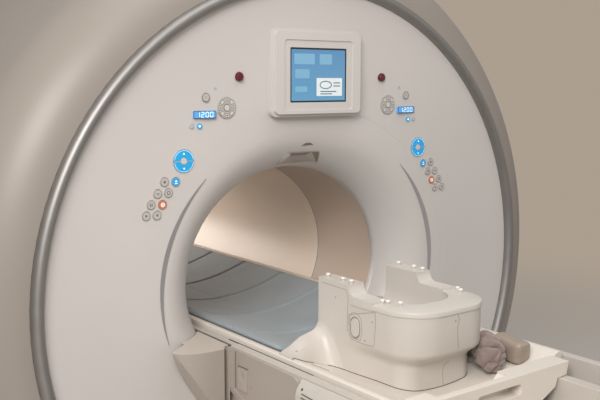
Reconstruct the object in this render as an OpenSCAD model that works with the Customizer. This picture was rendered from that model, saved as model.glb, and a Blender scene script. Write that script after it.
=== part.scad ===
// Magnetic resonance scanner with a wide oval bore and a docked patient table.
// Origin: on the floor, straight below the isocentre. +Y runs into the bore, away from the table.

/* [Gantry] */
// Height of the bore axis above the floor
iso_h = 1050; // [1030:5:1100]
// Distance from the isocentre to the plane of the front trim ring
front_d = 820; // [800:10:900]
// Distance from the isocentre to the rear cover face
rear_d = 820; // [800:10:900]
// Inner radius of the trim ring
ring_r = 848; // [835:1:855]
// Radial width of the trim ring
ring_w = 34; // [28:1:36]
// How far the trim ring stands proud of its seat
ring_proud = 22; // [10:1:30]
// Radius of the drum covers
drum_r = 1045; // [1040:1:1048]
// Depth of the curved shoulder behind the ring
shoulder_d = 190; // [150:5:240]
// Depth of the parting line between shoulder and side covers, from the ring plane
part_line = 330; // [300:5:400]
// Wall of the moulded covers
cover_t = 6; // [4:0.5:8]
// How far the front face is dished behind the ring plane
dish = 39; // [30:1:45]
// Radius of the flat middle of the front face
flat_r = 600; // [596:1:640]
// Radius of the small edge on the rear cover
rear_edge = 60; // [40:5:90]

/* [Bore] */
// Half width of the oval bore
bore_a = 370; // [360:1:378]
// Half height of the oval bore
bore_b = 325; // [318:1:332]
// In-plane growth of the flare at each bore mouth
flare_w = 186; // [170:1:188]
// Depth of the flare at each bore mouth
flare_d = 151; // [130:1:170]
// Wall of the bore liner
liner_t = 5; // [3:0.5:7]
// Depth of the liner seam behind the ring plane
seam_d = 483; // [420:1:520]
// Wall of the body coil former
coil_t = 12; // [8:1:16]
// Outer radius of the gradient coil
grad_r = 470; // [455:1:480]
// Outer radius of the magnet vessel
vessel_r = 930; // [900:5:960]
// Length of the magnet vessel
vessel_l = 1200; // [1100:10:1220]

/* [Floor] */
// Half width of the base skirts
skirt_w = 750; // [700:5:800]
// Height of the dark kick plinth
plinth_h = 60; // [40:5:90]
// Width of each magnet foot
foot_w = 420; // [360:10:480]
// Length of each magnet foot along the bore
foot_l = 160; // [120:5:200]

/* [Display] */
// Width of the screen glass
screen_w = 207; // [190:1:220]
// Height of the screen glass
screen_h = 155; // [140:1:165]
// Height of the screen middle above the bore axis
screen_z = 604; // [600:1:610]
// Width of the display housing
disp_w = 330; // [320:1:350]
// Height of the display housing
disp_h = 250; // [240:1:262]
// How far the display housing stands out of the face
disp_t = 34; // [26:1:44]

/* [Keys] */
// Diameter of a round key
key_d = 24; // [20:0.5:26]
// Diameter of the half ring pair
pair_d = 60; // [52:1:64]
// Diameter of the hole in the half ring pair
pair_hole = 20; // [16:1:24]
// Diameter of the direction pad
pad_d = 58; // [50:1:62]
// How far keys stand out of the face
key_out = 3; // [2.5:0.1:4]
// Key travel
key_travel = 1.5; // [1:0.1:2]
// Gap round each key
key_gap = 0.5; // [0.4:0.05:0.8]

/* [Apron] */
// Height of the ledge below the bore axis
ledge_z = 131; // [128:1:136]
// How far the apron stands in front of the ring plane
apron_out = 62; // [50:1:70]
// Half width of the apron at its ledge
apron_w = 508; // [500:1:515]
// Half width of the gap that the table runs through
dock_w = 349; // [347:1:352]

/* [Table] */
// Length of the table frame
table_l = 2440; // [2200:10:2600]
// Half width of the table frame over its rails
rail_w = 343; // [341:1:345]
// Half width between the rails
rail_in = 318; // [315:1:320]
// Distance of the frame's gantry end from the ring plane
dock_gap = 41; // [38:1:48]
// Height of the table frame
frame_h = 170; // [150:5:200]
// Thickness of the side panels
panel_t = 9; // [6:0.5:10]
// Gap between rail and side panel
panel_gap = 0.4; // [0.3:0.1:1]
// Length of the front side panels
panel_l = 325; // [250:5:340]
// Width of the lift column
column_w = 380; // [340:5:420]
// Length of the lift column along the table
column_l = 560; // [480:10:640]
// Width of the floor foot of the table
pedestal_w = 620; // [560:10:660]
// Length of the floor foot of the table
pedestal_l = 1500; // [1300:10:1700]

/* [Tabletop] */
// Length of the tabletop
top_l = 2300; // [2200:10:2400]
// Half width of the tabletop
top_w = 312; // [310:0.5:313]
// Distance from the ring plane to the tabletop's outer end at rest
top_out = 696; // [660:2:720]
// Depth of the trough in the tabletop
trough = 70; // [60:1:72]
// Height of the tabletop's lip above the rails
lip_up = 12; // [8:1:14]
// Thickness of the table pad
pad_t = 22; // [15:1:30]

/* [Head coil] */
// Half width of the coil body
coil_w = 150; // [140:1:156]
// How far each side of the lower body draws in at the closed end
coil_draft = 22; // [16:1:26]
// Set back of the lower body at the closed end
coil_step = 50; // [40:1:60]
// Distance from the ring plane to the coil's open end
coil_y0 = 183; // [175:1:190]
// Distance from the ring plane to the coil's closed end
coil_y1 = 552; // [540:1:556]
// Height of the tall side walls above the bore axis
coil_top = 61; // [55:1:70]
// Height of the low rim above the bore axis
coil_rim = 27; // [15:1:32]
// Length of the tall side walls
coil_tall_l = 126; // [115:1:135]
// Half width of the coil's bowl
bowl_w = 98; // [90:1:105]

/* [Hidden] */

// Running clearance between curved faces and between sliding faces
fit = 0.3;
// Segments of an oval
oval_n = 72;
ring_y = -front_d;
face_y = ring_y + dish;
face_edge = ring_y + 8;
throat_y = face_y + flare_d;
seam_y = ring_y + seam_d;
rear_y = rear_d;
rear_throat = rear_y - flare_d;
ring_out = ring_r + ring_w;

cover_white = [0.88, 0.86, 0.83];
cream = [0.80, 0.72, 0.62];
silver = [0.72, 0.71, 0.70];
dark = [0.16, 0.16, 0.17];
key_grey = [0.62, 0.63, 0.65];
key_blue = [0.10, 0.62, 0.86];
key_orange = [0.90, 0.45, 0.15];
key_red = [0.65, 0.08, 0.14];

// Places of keys on the right half of the face, as [x, z] from the bore axis
stop_at = [264, 599];
lamp_at = [341, 568];
round_at = [371, 543];
pad_at = [300, 514];
readout_at = [374, 497];
small_at = [[388, 466], [413, 467]];
pair_at = [437, 374];
keys_at = [[462, 320], [496, 322], [485, 292], [517, 292], [503, 262], [537, 264],
    [520, 235], [552, 236]];
small_d = 15;
readout_w = 70;
readout_h = 20;
lamp_d = 6;
key_deep = 12;

function oval(a, b, n = oval_n) = [for (i = [0 : n - 1]) [a * cos(360 * i / n), b * sin(360 * i / n)]];

// Turns a profile of [radius, y] into a shell round the bore axis
module around_axis(angle = 360) {
    translate([0, 0, iso_h]) rotate([-90, 0, 0]) rotate_extrude(angle = angle, $fn = 180) children();
}

// Stands a front-view outline of [x, z] from the bore axis up, from y0 to y1
module stand(y0, y1) {
    translate([0, y1, iso_h]) rotate([90, 0, 0]) linear_extrude(y1 - y0) children();
}

// A pin along Y at [x, z] from the bore axis
module pin(at, d, y0, y1) {
    translate([at[0], y0, iso_h + at[1]]) rotate([-90, 0, 0]) cylinder(d = d, h = y1 - y0, $fn = 48);
}

function side(p, s) = [s * p[0], p[1]];

// The plinth closes the gap under the drum, and grows where the drum stands higher
drum_gap = 5;
belly_z = plinth_h + max(0, iso_h - drum_r - drum_gap);
module floor_cut(z = belly_z) {
    translate([-drum_r - 10, -front_d - 200, z]) cube([2 * drum_r + 20, front_d + rear_d + 400, 3000]);
}

// Front face

// Everything from just in front of the dished face backwards
module behind_face() {
    around_axis() polygon([[0, face_y - fit], [flat_r, face_y - fit], [ring_r, face_edge - fit],
        [ring_r, face_y + 80], [0, face_y + 80]]);
}

module key_holes(s) {
    wide = 2 * key_gap;
    pin(side(stop_at, s), key_d + wide, ring_y - 50, face_y + 60);
    pin(side(round_at, s), key_d + wide, ring_y - 50, face_y + 60);
    pin(side(pad_at, s), pad_d + wide, ring_y - 50, face_y + 60);
    pin(side(pair_at, s), pair_d + wide, ring_y - 50, face_y + 60);
    for (k = keys_at) pin(side(k, s), key_d + wide, ring_y - 50, face_y + 60);
}

module front_cover() {
    color(cover_white) difference() {
        around_axis() polygon([[bore_a, face_y], [flat_r, face_y], [ring_r - fit, face_edge],
            [ring_r - fit, face_edge + cover_t + 14], [ring_r - 40, face_edge + cover_t + 14],
            [ring_r - 40, face_edge + cover_t + 5], [flat_r, face_y + cover_t], [bore_a, face_y + cover_t]]);
        stand(face_y - 5, face_y + cover_t + 5) polygon(oval(bore_a + flare_w + fit, bore_b + flare_w + fit));
        key_holes(-1);
        key_holes(1);
    }
}

// Skins closed loops of points; ends are capped unless the last loop meets the first
module skin(loops, ring = false) {
    n = len(loops[0]);
    m = len(loops);
    bands = ring ? m : m - 1;
    walls = [for (j = [0 : bands - 1]) for (i = [0 : n - 1])
        let (k = (i + 1) % n, low = j * n, up = ((j + 1) % m) * n)
        each [[low + i, low + k, up + k], [low + i, up + k, up + i]]];
    caps = ring ? [] : [[for (i = [n - 1 : -1 : 0]) i], [for (i = [0 : n - 1]) (m - 1) * n + i]];
    polyhedron(points = [for (l = loops) each l], faces = concat(walls, caps), convexity = 10);
}

function lift(outline, y) = [for (p = outline) [p[0], y, iso_h + p[1]]];

// Depth of the flare surface where the oval has grown by g
function flare_y(g) = face_y + flare_d * (1 - cos(asin(1 - g / flare_w)));

// A bore mouth from the face inwards, opening towards -Y
module funnel(face, rows, n) {
    skin(concat(
        [for (i = [0 : rows]) let (s = 90 * i / rows, g = flare_w * (1 - sin(s)) + cover_t * sin(s))
            lift(oval(bore_a + g, bore_b + g, n), face + flare_d * (1 - cos(s)) + cover_t * cos(s))],
        [for (i = [rows : -1 : 0]) let (s = 90 * i / rows, g = flare_w * (1 - sin(s)))
            lift(oval(bore_a + g, bore_b + g, n), face + flare_d * (1 - cos(s)))]), true);
}

module bore_funnel() {
    color(cover_white) funnel(face_y, 9, oval_n);
}

module trim_ring() {
    n = 10;
    bulge = [for (i = [0 : n]) let (t = 180 * i / n)
        [ring_r + ring_w / 2 + ring_w / 2 * cos(t), ring_y + 6 - ring_proud * sin(t)]];
    color(silver) intersection() {
        around_axis() polygon(concat(bulge, [[ring_r, ring_y + 20], [ring_out, ring_y + 20]]));
        floor_cut();
    }
}

module shoulder_half(y0, dir, r0, depth, y_end) {
    n = 12;
    outer = [for (i = [0 : n]) let (t = 90 * i / n)
        [r0 + (drum_r - r0) * sin(t), y0 + dir * depth * (1 - cos(t))]];
    inner = [for (i = [n : -1 : 0]) let (t = 90 * i / n)
        [r0 + (drum_r - r0 - cover_t) * sin(t), y0 + dir * (cover_t + (depth - cover_t) * (1 - cos(t)))]];
    intersection() {
        around_axis() polygon(concat(outer, [[drum_r, y_end], [drum_r - cover_t, y_end]], inner));
        floor_cut();
    }
}

module front_shoulder() {
    color(cover_white) shoulder_half(ring_y + 8, 1, ring_out + fit, shoulder_d, ring_y + part_line - fit);
}

module side_covers() {
    y0 = ring_y + part_line + fit;
    y1 = rear_y - rear_edge - fit;
    seam = 1;
    color(cover_white) difference() {
        around_axis() polygon([[drum_r - cover_t, y0], [drum_r, y0], [drum_r, y1], [drum_r - cover_t, y1]]);
        translate([-drum_r, y0 - 1, -100]) cube([2 * drum_r, y1 - y0 + 2, 100 + belly_z]);
        translate([-seam / 2, y0 - 1, iso_h]) cube([seam, y1 - y0 + 2, 2 * drum_r]);
    }
}

module rear_cover() {
    n = 8;
    outer = [for (i = [0 : n]) let (t = 90 * i / n)
        [drum_r - rear_edge + rear_edge * cos(t), rear_y - rear_edge + rear_edge * sin(t)]];
    ri = rear_edge - cover_t;
    inner = [for (i = [n : -1 : 0]) let (t = 90 * i / n)
        [drum_r - rear_edge + ri * cos(t), rear_y - rear_edge + ri * sin(t)]];
    color(cover_white) difference() {
        intersection() {
            around_axis() polygon(concat(outer, [[bore_a, rear_y], [bore_a, rear_y - cover_t]], inner));
            floor_cut();
        }
        stand(rear_y - 90, rear_y + 10) polygon(oval(bore_a + flare_w + fit, bore_b + flare_w + fit, 60));
    }
}

module rear_funnel() {
    color(cover_white) mirror([0, 1, 0]) funnel(-rear_y, 7, 60);
}

// Bore and magnet

module oval_tube(a, b, t, y0, y1) {
    stand(y0, y1) difference() {
        polygon(oval(a + t, b + t));
        polygon(oval(a, b));
    }
}

module front_liner() {
    color(cream) oval_tube(bore_a, bore_b, liner_t, throat_y + fit, seam_y - 1);
}

module main_liner() {
    color(cream) oval_tube(bore_a, bore_b, liner_t, seam_y + 1, rear_throat - fit);
}

module body_coil() {
    a = bore_a + liner_t + fit;
    b = bore_b + liner_t + fit;
    color([0.75, 0.70, 0.55]) oval_tube(a, b, coil_t, -vessel_l / 2 + 40, vessel_l / 2 - 40);
}

module gradient_coil() {
    a = bore_a + liner_t + coil_t + 2 * fit;
    b = bore_b + liner_t + coil_t + 2 * fit;
    color([0.55, 0.45, 0.30]) difference() {
        around_axis() translate([0, -vessel_l / 2 + 10]) square([grad_r, vessel_l - 20]);
        stand(-vessel_l / 2, vessel_l / 2) polygon(oval(a, b));
    }
}

module magnet_vessel() {
    r = grad_r + fit;
    color([0.78, 0.79, 0.80]) around_axis() translate([r, -vessel_l / 2])
        square([vessel_r - r, vessel_l]);
}

foot_y = 380;
saddle = 80;
module magnet_feet() {
    color([0.35, 0.36, 0.38]) for (y = [-foot_y, foot_y]) difference() {
        translate([-foot_w / 2, y - foot_l / 2, 0]) cube([foot_w, foot_l, iso_h - vessel_r + saddle]);
        around_axis() translate([0, -front_d]) square([vessel_r + fit, front_d + rear_d]);
        for (x = [-foot_w / 2 + 40, foot_w / 2 - 40])
            translate([x, y, -1]) cylinder(d = 18, h = iso_h, $fn = 32);
    }
}

skirt_y0 = ring_y + 240;
skirt_y1 = rear_y - 120;
module base_skirts() {
    skirt_h = iso_h - sqrt(pow(drum_r, 2) - pow(skirt_w, 2));
    color(cover_white) for (s = [-1, 1]) intersection() {
        difference() {
            translate([0, skirt_y1, 0]) rotate([90, 0, 0]) linear_extrude(skirt_y1 - skirt_y0)
                polygon([[s * (foot_w / 2 + 130), 0], [s * skirt_w, 0], [s * skirt_w, skirt_h],
                    [s * (foot_w / 2 + 130), skirt_h]]);
            around_axis() translate([0, -front_d]) square([drum_r + fit, front_d + rear_d]);
        }
        union() {
            translate([s * skirt_w / 2 - skirt_w / 2 + 60 * (s > 0 ? -1 : 0), skirt_y0 + 60, 0])
                cube([skirt_w + 60, skirt_y1 - skirt_y0 - 120, iso_h]);
            translate([s * skirt_w / 2 - skirt_w / 2 - s * 60, skirt_y0, 0])
                cube([skirt_w, skirt_y1 - skirt_y0, iso_h]);
            for (y = [skirt_y0 + 60, skirt_y1 - 60])
                translate([s * (skirt_w - 60), y, 0]) cylinder(r = 60, h = iso_h, $fn = 48);
        }
    }
}

module floor_plinth() {
    w = sqrt(pow(drum_r, 2) - pow(iso_h - belly_z, 2)) - 4;
    y0 = ring_y + 120;
    y1 = rear_y - 60;
    color(dark) difference() {
        translate([-w, y0, 0]) cube([2 * w, y1 - y0, belly_z]);
        translate([-w + 30, y0 + 30, -1]) cube([2 * w - 60, y1 - y0 - 60, belly_z + 2]);
    }
}

// Display and fixed panel items

module rounded(w, h, r, y0, y1, z) {
    stand(y0, y1) translate([0, z]) union() {
        square([w - 2 * r, h], center = true);
        square([w, h - 2 * r], center = true);
        for (x = [-1, 1], y = [-1, 1]) translate([x * (w / 2 - r), y * (h / 2 - r)]) circle(r, $fn = 40);
    }
}

disp_front = face_y - disp_t;
bezel_in = 22;
module display_housing() {
    z = screen_z + 6;
    color(cover_white) difference() {
        union() {
            rounded(disp_w, disp_h, 20, disp_front + 12, face_y, z);
            rounded(disp_w - 16, disp_h - 16, 14, disp_front, disp_front + 13, z);
        }
        rounded(screen_w + 2 * bezel_in, screen_h + 2 * bezel_in, 10, disp_front - 1, disp_front + 3, z - 6);
        rounded(screen_w + 1, screen_h + 1, 3, disp_front - 2, disp_front + 12, screen_z);
        behind_face();
    }
}

module display_screen() {
    color([0.25, 0.55, 0.80]) rounded(screen_w, screen_h, 2.5, disp_front + 5, disp_front + 11.7, screen_z);
}

accent_off = 137;
accent_w = 15;
function on_flare(g, t) = [(bore_a + g) * cos(t), flare_y(g) - fit, iso_h + (bore_b + g) * sin(t)];
module accent_inlays() {
    n = 18;
    t0 = -16;
    t1 = 44;
    thick = [0, -0.8, 0];
    loops = [for (i = [0 : n]) let (t = t0 + (t1 - t0) * i / n, w = 1 + (accent_w - 1) * sin(180 * i / n),
        low = on_flare(accent_off - w / 2, t), top = on_flare(accent_off + w / 2, t))
        [low, top, top + thick, low + thick]];
    color([0.55, 0.55, 0.56]) {
        skin(loops);
        mirror([1, 0, 0]) skin(loops);
    }
}

// Growth of the oval that passes through [x, z]
function growth(x, z, lo = 0, hi = flare_w, n = 20) = let (m = (lo + hi) / 2)
    n == 0 ? m : pow(x / (bore_a + m), 2) + pow(z / (bore_b + m), 2) > 1
        ? growth(x, z, m, hi, n - 1) : growth(x, z, lo, m, n - 1);

// Light window over the bore mouth
window_z = [340, 376];
window_w = [75, 58];
window_t = 3;
module light_window() {
    n = 4;
    rise = window_z[1] - window_z[0];
    spread = window_w[1] - window_w[0];
    loops = [for (i = [-3 : 3]) let (edge = [for (j = [0 : n])
        let (z = window_z[0] + rise * j / n, x = i / 3 * (window_w[0] + spread * j / n))
            [x, flare_y(growth(x, z)) - 1, iso_h + z]])
        concat(edge, [for (j = [n : -1 : 0]) edge[j] - [0, window_t, 0]])];
    color([0.85, 0.87, 0.90]) skin(loops);
}

module readouts() {
    color([0.20, 0.35, 0.75]) difference() {
        for (s = [-1, 1]) stand(face_y - 9, face_y) translate(side(readout_at, s))
            square([readout_w, readout_h], center = true);
        behind_face();
    }
}

module direction_pads() {
    color(key_grey) for (s = [-1, 1]) pin(side(round_at, s), key_d, face_y - key_out - 7, face_y + key_deep);
    color(key_grey) for (s = [-1, 1]) difference() {
        pin(side(pad_at, s), pad_d, face_y - key_out, face_y + key_deep);
        difference() {
            pin(side(pad_at, s), 24, face_y - key_out - 1, face_y - key_out + 1.2);
            pin(side(pad_at, s), 20, face_y - key_out - 2, face_y - key_out + 2);
        }
        for (a = [45, 135]) translate([s * pad_at[0], face_y - key_out, iso_h + pad_at[1]]) rotate([0, a, 0])
            difference() {
                cube([pad_d + 4, 2.4, 3], center = true);
                cube([26, 4, 4], center = true);
            }
    }
}

module small_lamps() {
    color(key_blue) difference() {
        for (s = [-1, 1]) {
            pin(side(lamp_at, s), lamp_d, face_y - 10, face_y);
            for (p = small_at) pin(side(p, s), small_d, face_y - 4, face_y);
        }
        behind_face();
    }
}

// Keys that travel

module stop_key(s) {
    color(key_red) pin(side(stop_at, s), key_d, face_y - 14, face_y + key_deep);
}

// Half of the drive pair: up is 1 for the upper half
module pair_key(s, up) {
    slit = 1.5;
    cut_z = up > 0 ? slit - pair_d : -slit;
    color(key_blue) difference() {
        pin(side(pair_at, s), pair_d, face_y - key_out, face_y + key_deep);
        pin(side(pair_at, s), pair_hole, face_y - key_out - 1, face_y + key_deep + 1);
        translate([s * pair_at[0] - pair_d, face_y - 30, iso_h + pair_at[1] + cut_z])
            cube([2 * pair_d, 80, pair_d]);
    }
}

module round_key(i, s) {
    c = i == 1 ? key_blue : i == 5 ? key_orange : key_grey;
    color(c) pin(side(keys_at[i - 1], s), key_d, face_y - key_out, face_y + key_deep);
}

// Docking apron

module docking_apron() {
    front_view = [[-apron_w, -ledge_z], [-apron_w + 10, -ledge_z - 20], [-415, -283], [-345, -400],
        [-270, -500], [-170, -580], [0, -605], [170, -580], [270, -500], [345, -400], [415, -283],
        [apron_w - 10, -ledge_z - 20], [apron_w, -ledge_z]];
    nose_back = [[445, face_y - fit], [503, ring_y - 4]];
    n = 10;
    nose = [for (i = [0 : n]) let (t = 90 * i / n)
        [apron_w - 100 * (1 - cos(t)), ring_y - 10 - (apron_out - 10) * sin(t)]];
    half = concat(nose_back, nose);
    plan = concat([for (p = half) [-p[0], p[1]]], [for (i = [len(half) - 1 : -1 : 0]) half[i]]);
    slab = 6;
    low = ledge_z + slab;
    // Width from the bore axis to the flare at the underside of the ledge
    function reach(g) = (bore_a + g) * sqrt(1 - pow(low / (bore_b + g), 2)) - 1.5;
    m = 8;
    shelf = concat([[dock_w, face_y - 2], [nose_back[0][0], face_y - 2]],
        [for (i = [0 : m]) let (g = flare_w * (1 - sin(28 + 37 * i / m))) [reach(g), flare_y(g)]],
        [[dock_w, flare_y(flare_w * (1 - sin(65)))]]);
    color(cover_white) union() {
        difference() {
            intersection() {
                stand(ring_y - apron_out - 10, face_y - fit) polygon(front_view);
                translate([0, 0, iso_h - 700]) linear_extrude(700) polygon(plan);
            }
            translate([0, 0, iso_h - bore_b - fit]) linear_extrude(400) polygon([[-dock_w, face_y + 20],
                [-dock_w, ring_y - 37], [-dock_w - 12, ring_y - 38], [-dock_w - 32, ring_y - apron_out - 4],
                [dock_w + 32, ring_y - apron_out - 4], [dock_w + 12, ring_y - 38], [dock_w, ring_y - 37],
                [dock_w, face_y + 20]]);
            behind_face();
        }
        for (s = [-1, 1]) translate([0, 0, iso_h - low]) linear_extrude(slab)
            polygon([for (p = shelf) side(p, s)]);
    }
}

// Table

frame_end = ring_y - dock_gap;
frame_out = frame_end - table_l;
bed_z = 207;
runner_z = 161;
module channel(top) {
    seat = -runner_z - fit;
    half = [[rail_in, top], [rail_in, -bed_z], [262, -bed_z], [262, seat], [228, seat], [228, -bed_z - 22]];
    polygon(concat([for (p = half) [-p[0], p[1]]], [for (i = [len(half) - 1 : -1 : 0]) half[i]]));
}

bridge_y0 = frame_end + 1;
module bore_bridge() {
    g = fit;
    color(cover_white) stand(bridge_y0, rear_throat - 20) difference() {
        intersection() {
            polygon(oval(bore_a - g, bore_b - g));
            translate([-rail_w, -bore_b]) square([2 * rail_w, bore_b - ledge_z - 2]);
        }
        channel(0);
    }
}

module table_frame() {
    h = ledge_z + frame_h;
    color(cover_white) difference() {
        stand(frame_out, frame_end) difference() {
            polygon([[-rail_w, -ledge_z], [-rail_w, -ledge_z - 90], [-rail_w + 40, -h], [rail_w - 40, -h],
                [rail_w, -ledge_z - 90], [rail_w, -ledge_z]]);
            channel(0);
        }
    }
}

post_w = 34;
plate_at = [-138, -238];
plate_l = 42;
plate_h = 60;
module side_panels() {
    x0 = rail_w + panel_gap;
    y1 = frame_end;
    y0 = y1 - panel_l;
    z0 = iso_h - ledge_z;
    outline = [[y1 - post_w, z0 - 3], [y1 - post_w, z0 - 160], [y1 - 110, z0 - 225], [y0, z0 - 225],
        [y0, z0 - 50], [y0 + 3, z0 - 30], [y0 + 12, z0 - 14], [y0 + 28, z0 - 6], [y1 - post_w - 30, z0 - 3]];
    post = [[y1, z0 - 3], [y1, z0 - 115], [y1 - 82, z0 - 150], [y1 - 82, z0 - 132], [y1 - post_w, z0 - 112],
        [y1 - post_w, z0 - 3]];
    color(cover_white) for (s = [-1, 1]) {
        translate([s > 0 ? x0 : -x0 - panel_t, 0, 0]) rotate([90, 0, 90]) linear_extrude(panel_t)
            polygon(outline);
        translate([s > 0 ? x0 : -x0 - panel_t - 5, 0, 0]) rotate([90, 0, 90]) linear_extrude(panel_t + 5)
            polygon(post);
        translate([s > 0 ? x0 + panel_t - 1 : -x0 - panel_t - 4, ring_y + plate_at[0], iso_h + plate_at[1]])
            difference() {
                cube([5, plate_l, plate_h]);
                for (z = [10, plate_h - 14]) translate([-1, 20, z]) rotate([0, 90, 0])
                    cylinder(d = 5, h = 7, $fn = 24);
            }
    }
}

grip_y = -440;
module side_rail_covers() {
    y1 = frame_end - panel_l - 3;
    x0 = rail_w + panel_gap;
    color(cover_white) for (s = [-1, 1]) difference() {
        stand(frame_out, y1) polygon([[s * x0, -ledge_z - 4], [s * (x0 + 6), -ledge_z - 4],
            [s * (x0 + 22), -ledge_z - 26], [s * (x0 + 26), -ledge_z - 40],
            [s * (x0 + 26), -ledge_z - 190], [s * (x0 + 10), -ledge_z - 225], [s * x0, -ledge_z - 225]]);
        stand(ring_y + grip_y - 60, ring_y + grip_y + 60) polygon([[s * (x0 + 12), -ledge_z - 62],
            [s * (x0 + 60), -ledge_z - 50], [s * (x0 + 60), -ledge_z - 104], [s * (x0 + 12), -ledge_z - 92]]);
    }
}

column_y = frame_end - table_l / 2;
column_split = 420;
under_z = iso_h - ledge_z - frame_h;
module column_upper() {
    color(cover_white) translate([-column_w / 2, column_y - column_l / 2, column_split])
        cube([column_w, column_l, under_z - column_split]);
}

module column_lower() {
    m = 24;
    color(silver) difference() {
        translate([-column_w / 2 - m, column_y - column_l / 2 - m, 110])
            cube([column_w + 2 * m, column_l + 2 * m, column_split - 110 - fit]);
    }
}

module table_foot() {
    color([0.30, 0.31, 0.33]) difference() {
        union() {
            translate([-pedestal_w / 2, column_y - pedestal_l / 2, 20]) cube([pedestal_w, pedestal_l, 90]);
            for (x = [-1, 1], y = [-1, 1])
                translate([x * (pedestal_w / 2 - 60), column_y + y * (pedestal_l / 2 - 80), 0])
                    cylinder(d = 90, h = 20, $fn = 48);
        }
        for (x = [-1, 1], y = [-1, 1])
            translate([x * (pedestal_w / 2 - 60), column_y + y * (pedestal_l / 2 - 80), -1])
                cylinder(d = 14, h = 200, $fn = 32);
    }
}

// Tabletop and what rides on it

top_y0 = ring_y - top_out;
top_y1 = top_y0 + top_l;
lip_z = ledge_z - lip_up;
trough_w = 292;
function trough_z(x) = -lip_z - 2 - trough * (1 - pow(x / trough_w, 2));
// Underside of the tabletop between its runners, right half
keel = [[221, -runner_z], [213, -182], [158, -208], [80, -bed_z - 12]];
module top_outline() {
    n = 12;
    top = [for (i = [-n : n]) let (x = trough_w * i / n) [x, trough_z(x)]];
    rim = [[trough_w + 6, -lip_z], [top_w - 4, -lip_z], [top_w, -lip_z - 2], [top_w, -ledge_z - 20],
        [266, -runner_z]];
    half = concat(rim, keel);
    polygon(concat(top, half, [for (i = [len(half) - 1 : -1 : 0]) [-half[i][0], half[i][1]]]));
}

end_l = 56;
end_half = concat([[265, -lip_z - 4], [258, -158]], keel);
module tabletop() {
    color(cover_white) difference() {
        union() {
            stand(top_y0 + end_l, top_y1) top_outline();
            stand(top_y0, top_y0 + end_l) polygon(concat(end_half,
                [for (i = [len(end_half) - 1 : -1 : 0]) [-end_half[i][0], end_half[i][1]]]));
        }
        stand(top_y0 + 22, top_y0 + end_l + 1) polygon([[-195, 0], [-195, -125], [-165, -157], [20, -157],
            [52, -128], [52, 0]]);
        rounded(160, 27, 12, top_y0 - 1, top_y0 + 34, -158.5);
    }
}

pad_y0 = ring_y - coil_y0 + 4;
module table_pad() {
    n = 8;
    w = 285;
    up = [for (i = [-n : n]) let (x = w * i / n) [x, trough_z(x) + fit]];
    over = [for (i = [n : -1 : -n]) let (x = w * i / n, crown = sqrt(1 - 0.9 * pow(i / n, 2)))
        [x, trough_z(x) + fit + pad_t * crown]];
    color([0.55, 0.60, 0.62]) stand(pad_y0, top_y1 - 60) polygon(concat(up, over));
}

coil_open = ring_y - coil_y0;
coil_end = ring_y - coil_y1;
tall_end = coil_open - coil_tall_l;

// Everything from the tabletop's surface down
module bed_cut(y0, y1) {
    z = fit - lip_z;
    stand(y0, y1) polygon(concat([[-400, -400], [-400, z], [-trough_w - 6, z]],
        [for (i = [-12 : 12]) let (x = trough_w * i / 12) [x, trough_z(x) + fit]],
        [[trough_w + 6, z], [400, z], [400, -400]]));
}

// Places along a side where its draw-in is set: [distance from the ring plane, share of the draw-in]
side_draw = [[coil_y0, 0], [255, 0], [290, 0.03], [330, 0.22], [365, 0.55], [400, 0.87]];

// Outline of the coil seen from above, as [draw-in, closed end, corner radius, growth], at height z
function coil_loop(s, z) = let (w = coil_w + s[3], v = w - s[0], e = s[1] - s[3], r = s[2] + s[3], n = 9,
    run = [for (d = side_draw) [w - s[0] * d[1], ring_y - d[0], iso_h + z]])
    concat([for (i = [len(run) - 1 : -1 : 0]) run[i]], [for (p = run) [-p[0], p[1], p[2]]],
        [for (i = [0 : n]) let (t = 180 + 90 * i / n) [-v + r + r * cos(t), e + r + r * sin(t), iso_h + z]],
        [for (i = [0 : n]) let (t = 270 + 90 * i / n) [v - r + r * cos(t), e + r + r * sin(t), iso_h + z]]);

// The lower body at 1, the upper body at 0, as a share of the step between them
function step_in(k, grow = 0) = [coil_draft * k, coil_end + coil_step * k, 100 - 50 * k, grow];
band = 3;
step_low = -126;
step_high = -80;
module coil_body(g = 0) {
    rows = concat([[-200, step_in(1, g)]],
        [for (i = [0 : 6]) [step_low + (step_high - step_low) * i / 6, step_in((1 + cos(30 * i)) / 2, g)]],
        [[coil_rim - 15, step_in(0, g)], [coil_rim - 13, step_in(0, band + g)],
            [coil_rim - 4, step_in(0, band + g)], [coil_rim - 1.2, step_in(0, band - 1.2 + g)],
            [coil_rim, step_in(0, band - 4 + g)]]);
    skin([for (i = [len(rows) - 1 : -1 : 0]) coil_loop(rows[i][1], rows[i][0])]);
}

bowl_end = coil_end + 78;
bowl_z = -92;
module coil_bowl() {
    r = bowl_w;
    intersection() {
        union() {
            translate([0, coil_open + 100, iso_h + bowl_z + r]) rotate([90, 0, 0])
                cylinder(r = r, h = 600, $fn = 96);
            translate([-r, coil_end - 100, iso_h + bowl_z + r]) cube([2 * r, 700, 300]);
        }
        translate([0, 0, iso_h + bowl_z - 1]) linear_extrude(400) union() {
            translate([-r, bowl_end + 80]) square([2 * r, 500]);
            translate([-r + 80, bowl_end]) square([2 * r - 160, 81]);
            for (x = [-1, 1]) translate([x * (r - 80), bowl_end + 80]) circle(80, $fn = 64);
        }
    }
}

// Side wings. Each row: [half width, leading edge, ridge, trailing edge, foot]
wing = [[126, 184, -40, 298, -176], [150, 184, -56, 292, -173], [153, 184, -64, 277, -172],
    [158, 184, -72, 265, -171], [166, 185, -79, 255, -169], [178, 186, -84, 248, -166],
    [200, 188, -88, 246, -159], [222, 192, -91, 251, -151], [245, 197, -99, 260, -142], [266, 202, -107, 268, -133], [290, 208, -112, 276, -122],
    [308, 216, -114, 280, -119]];
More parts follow.
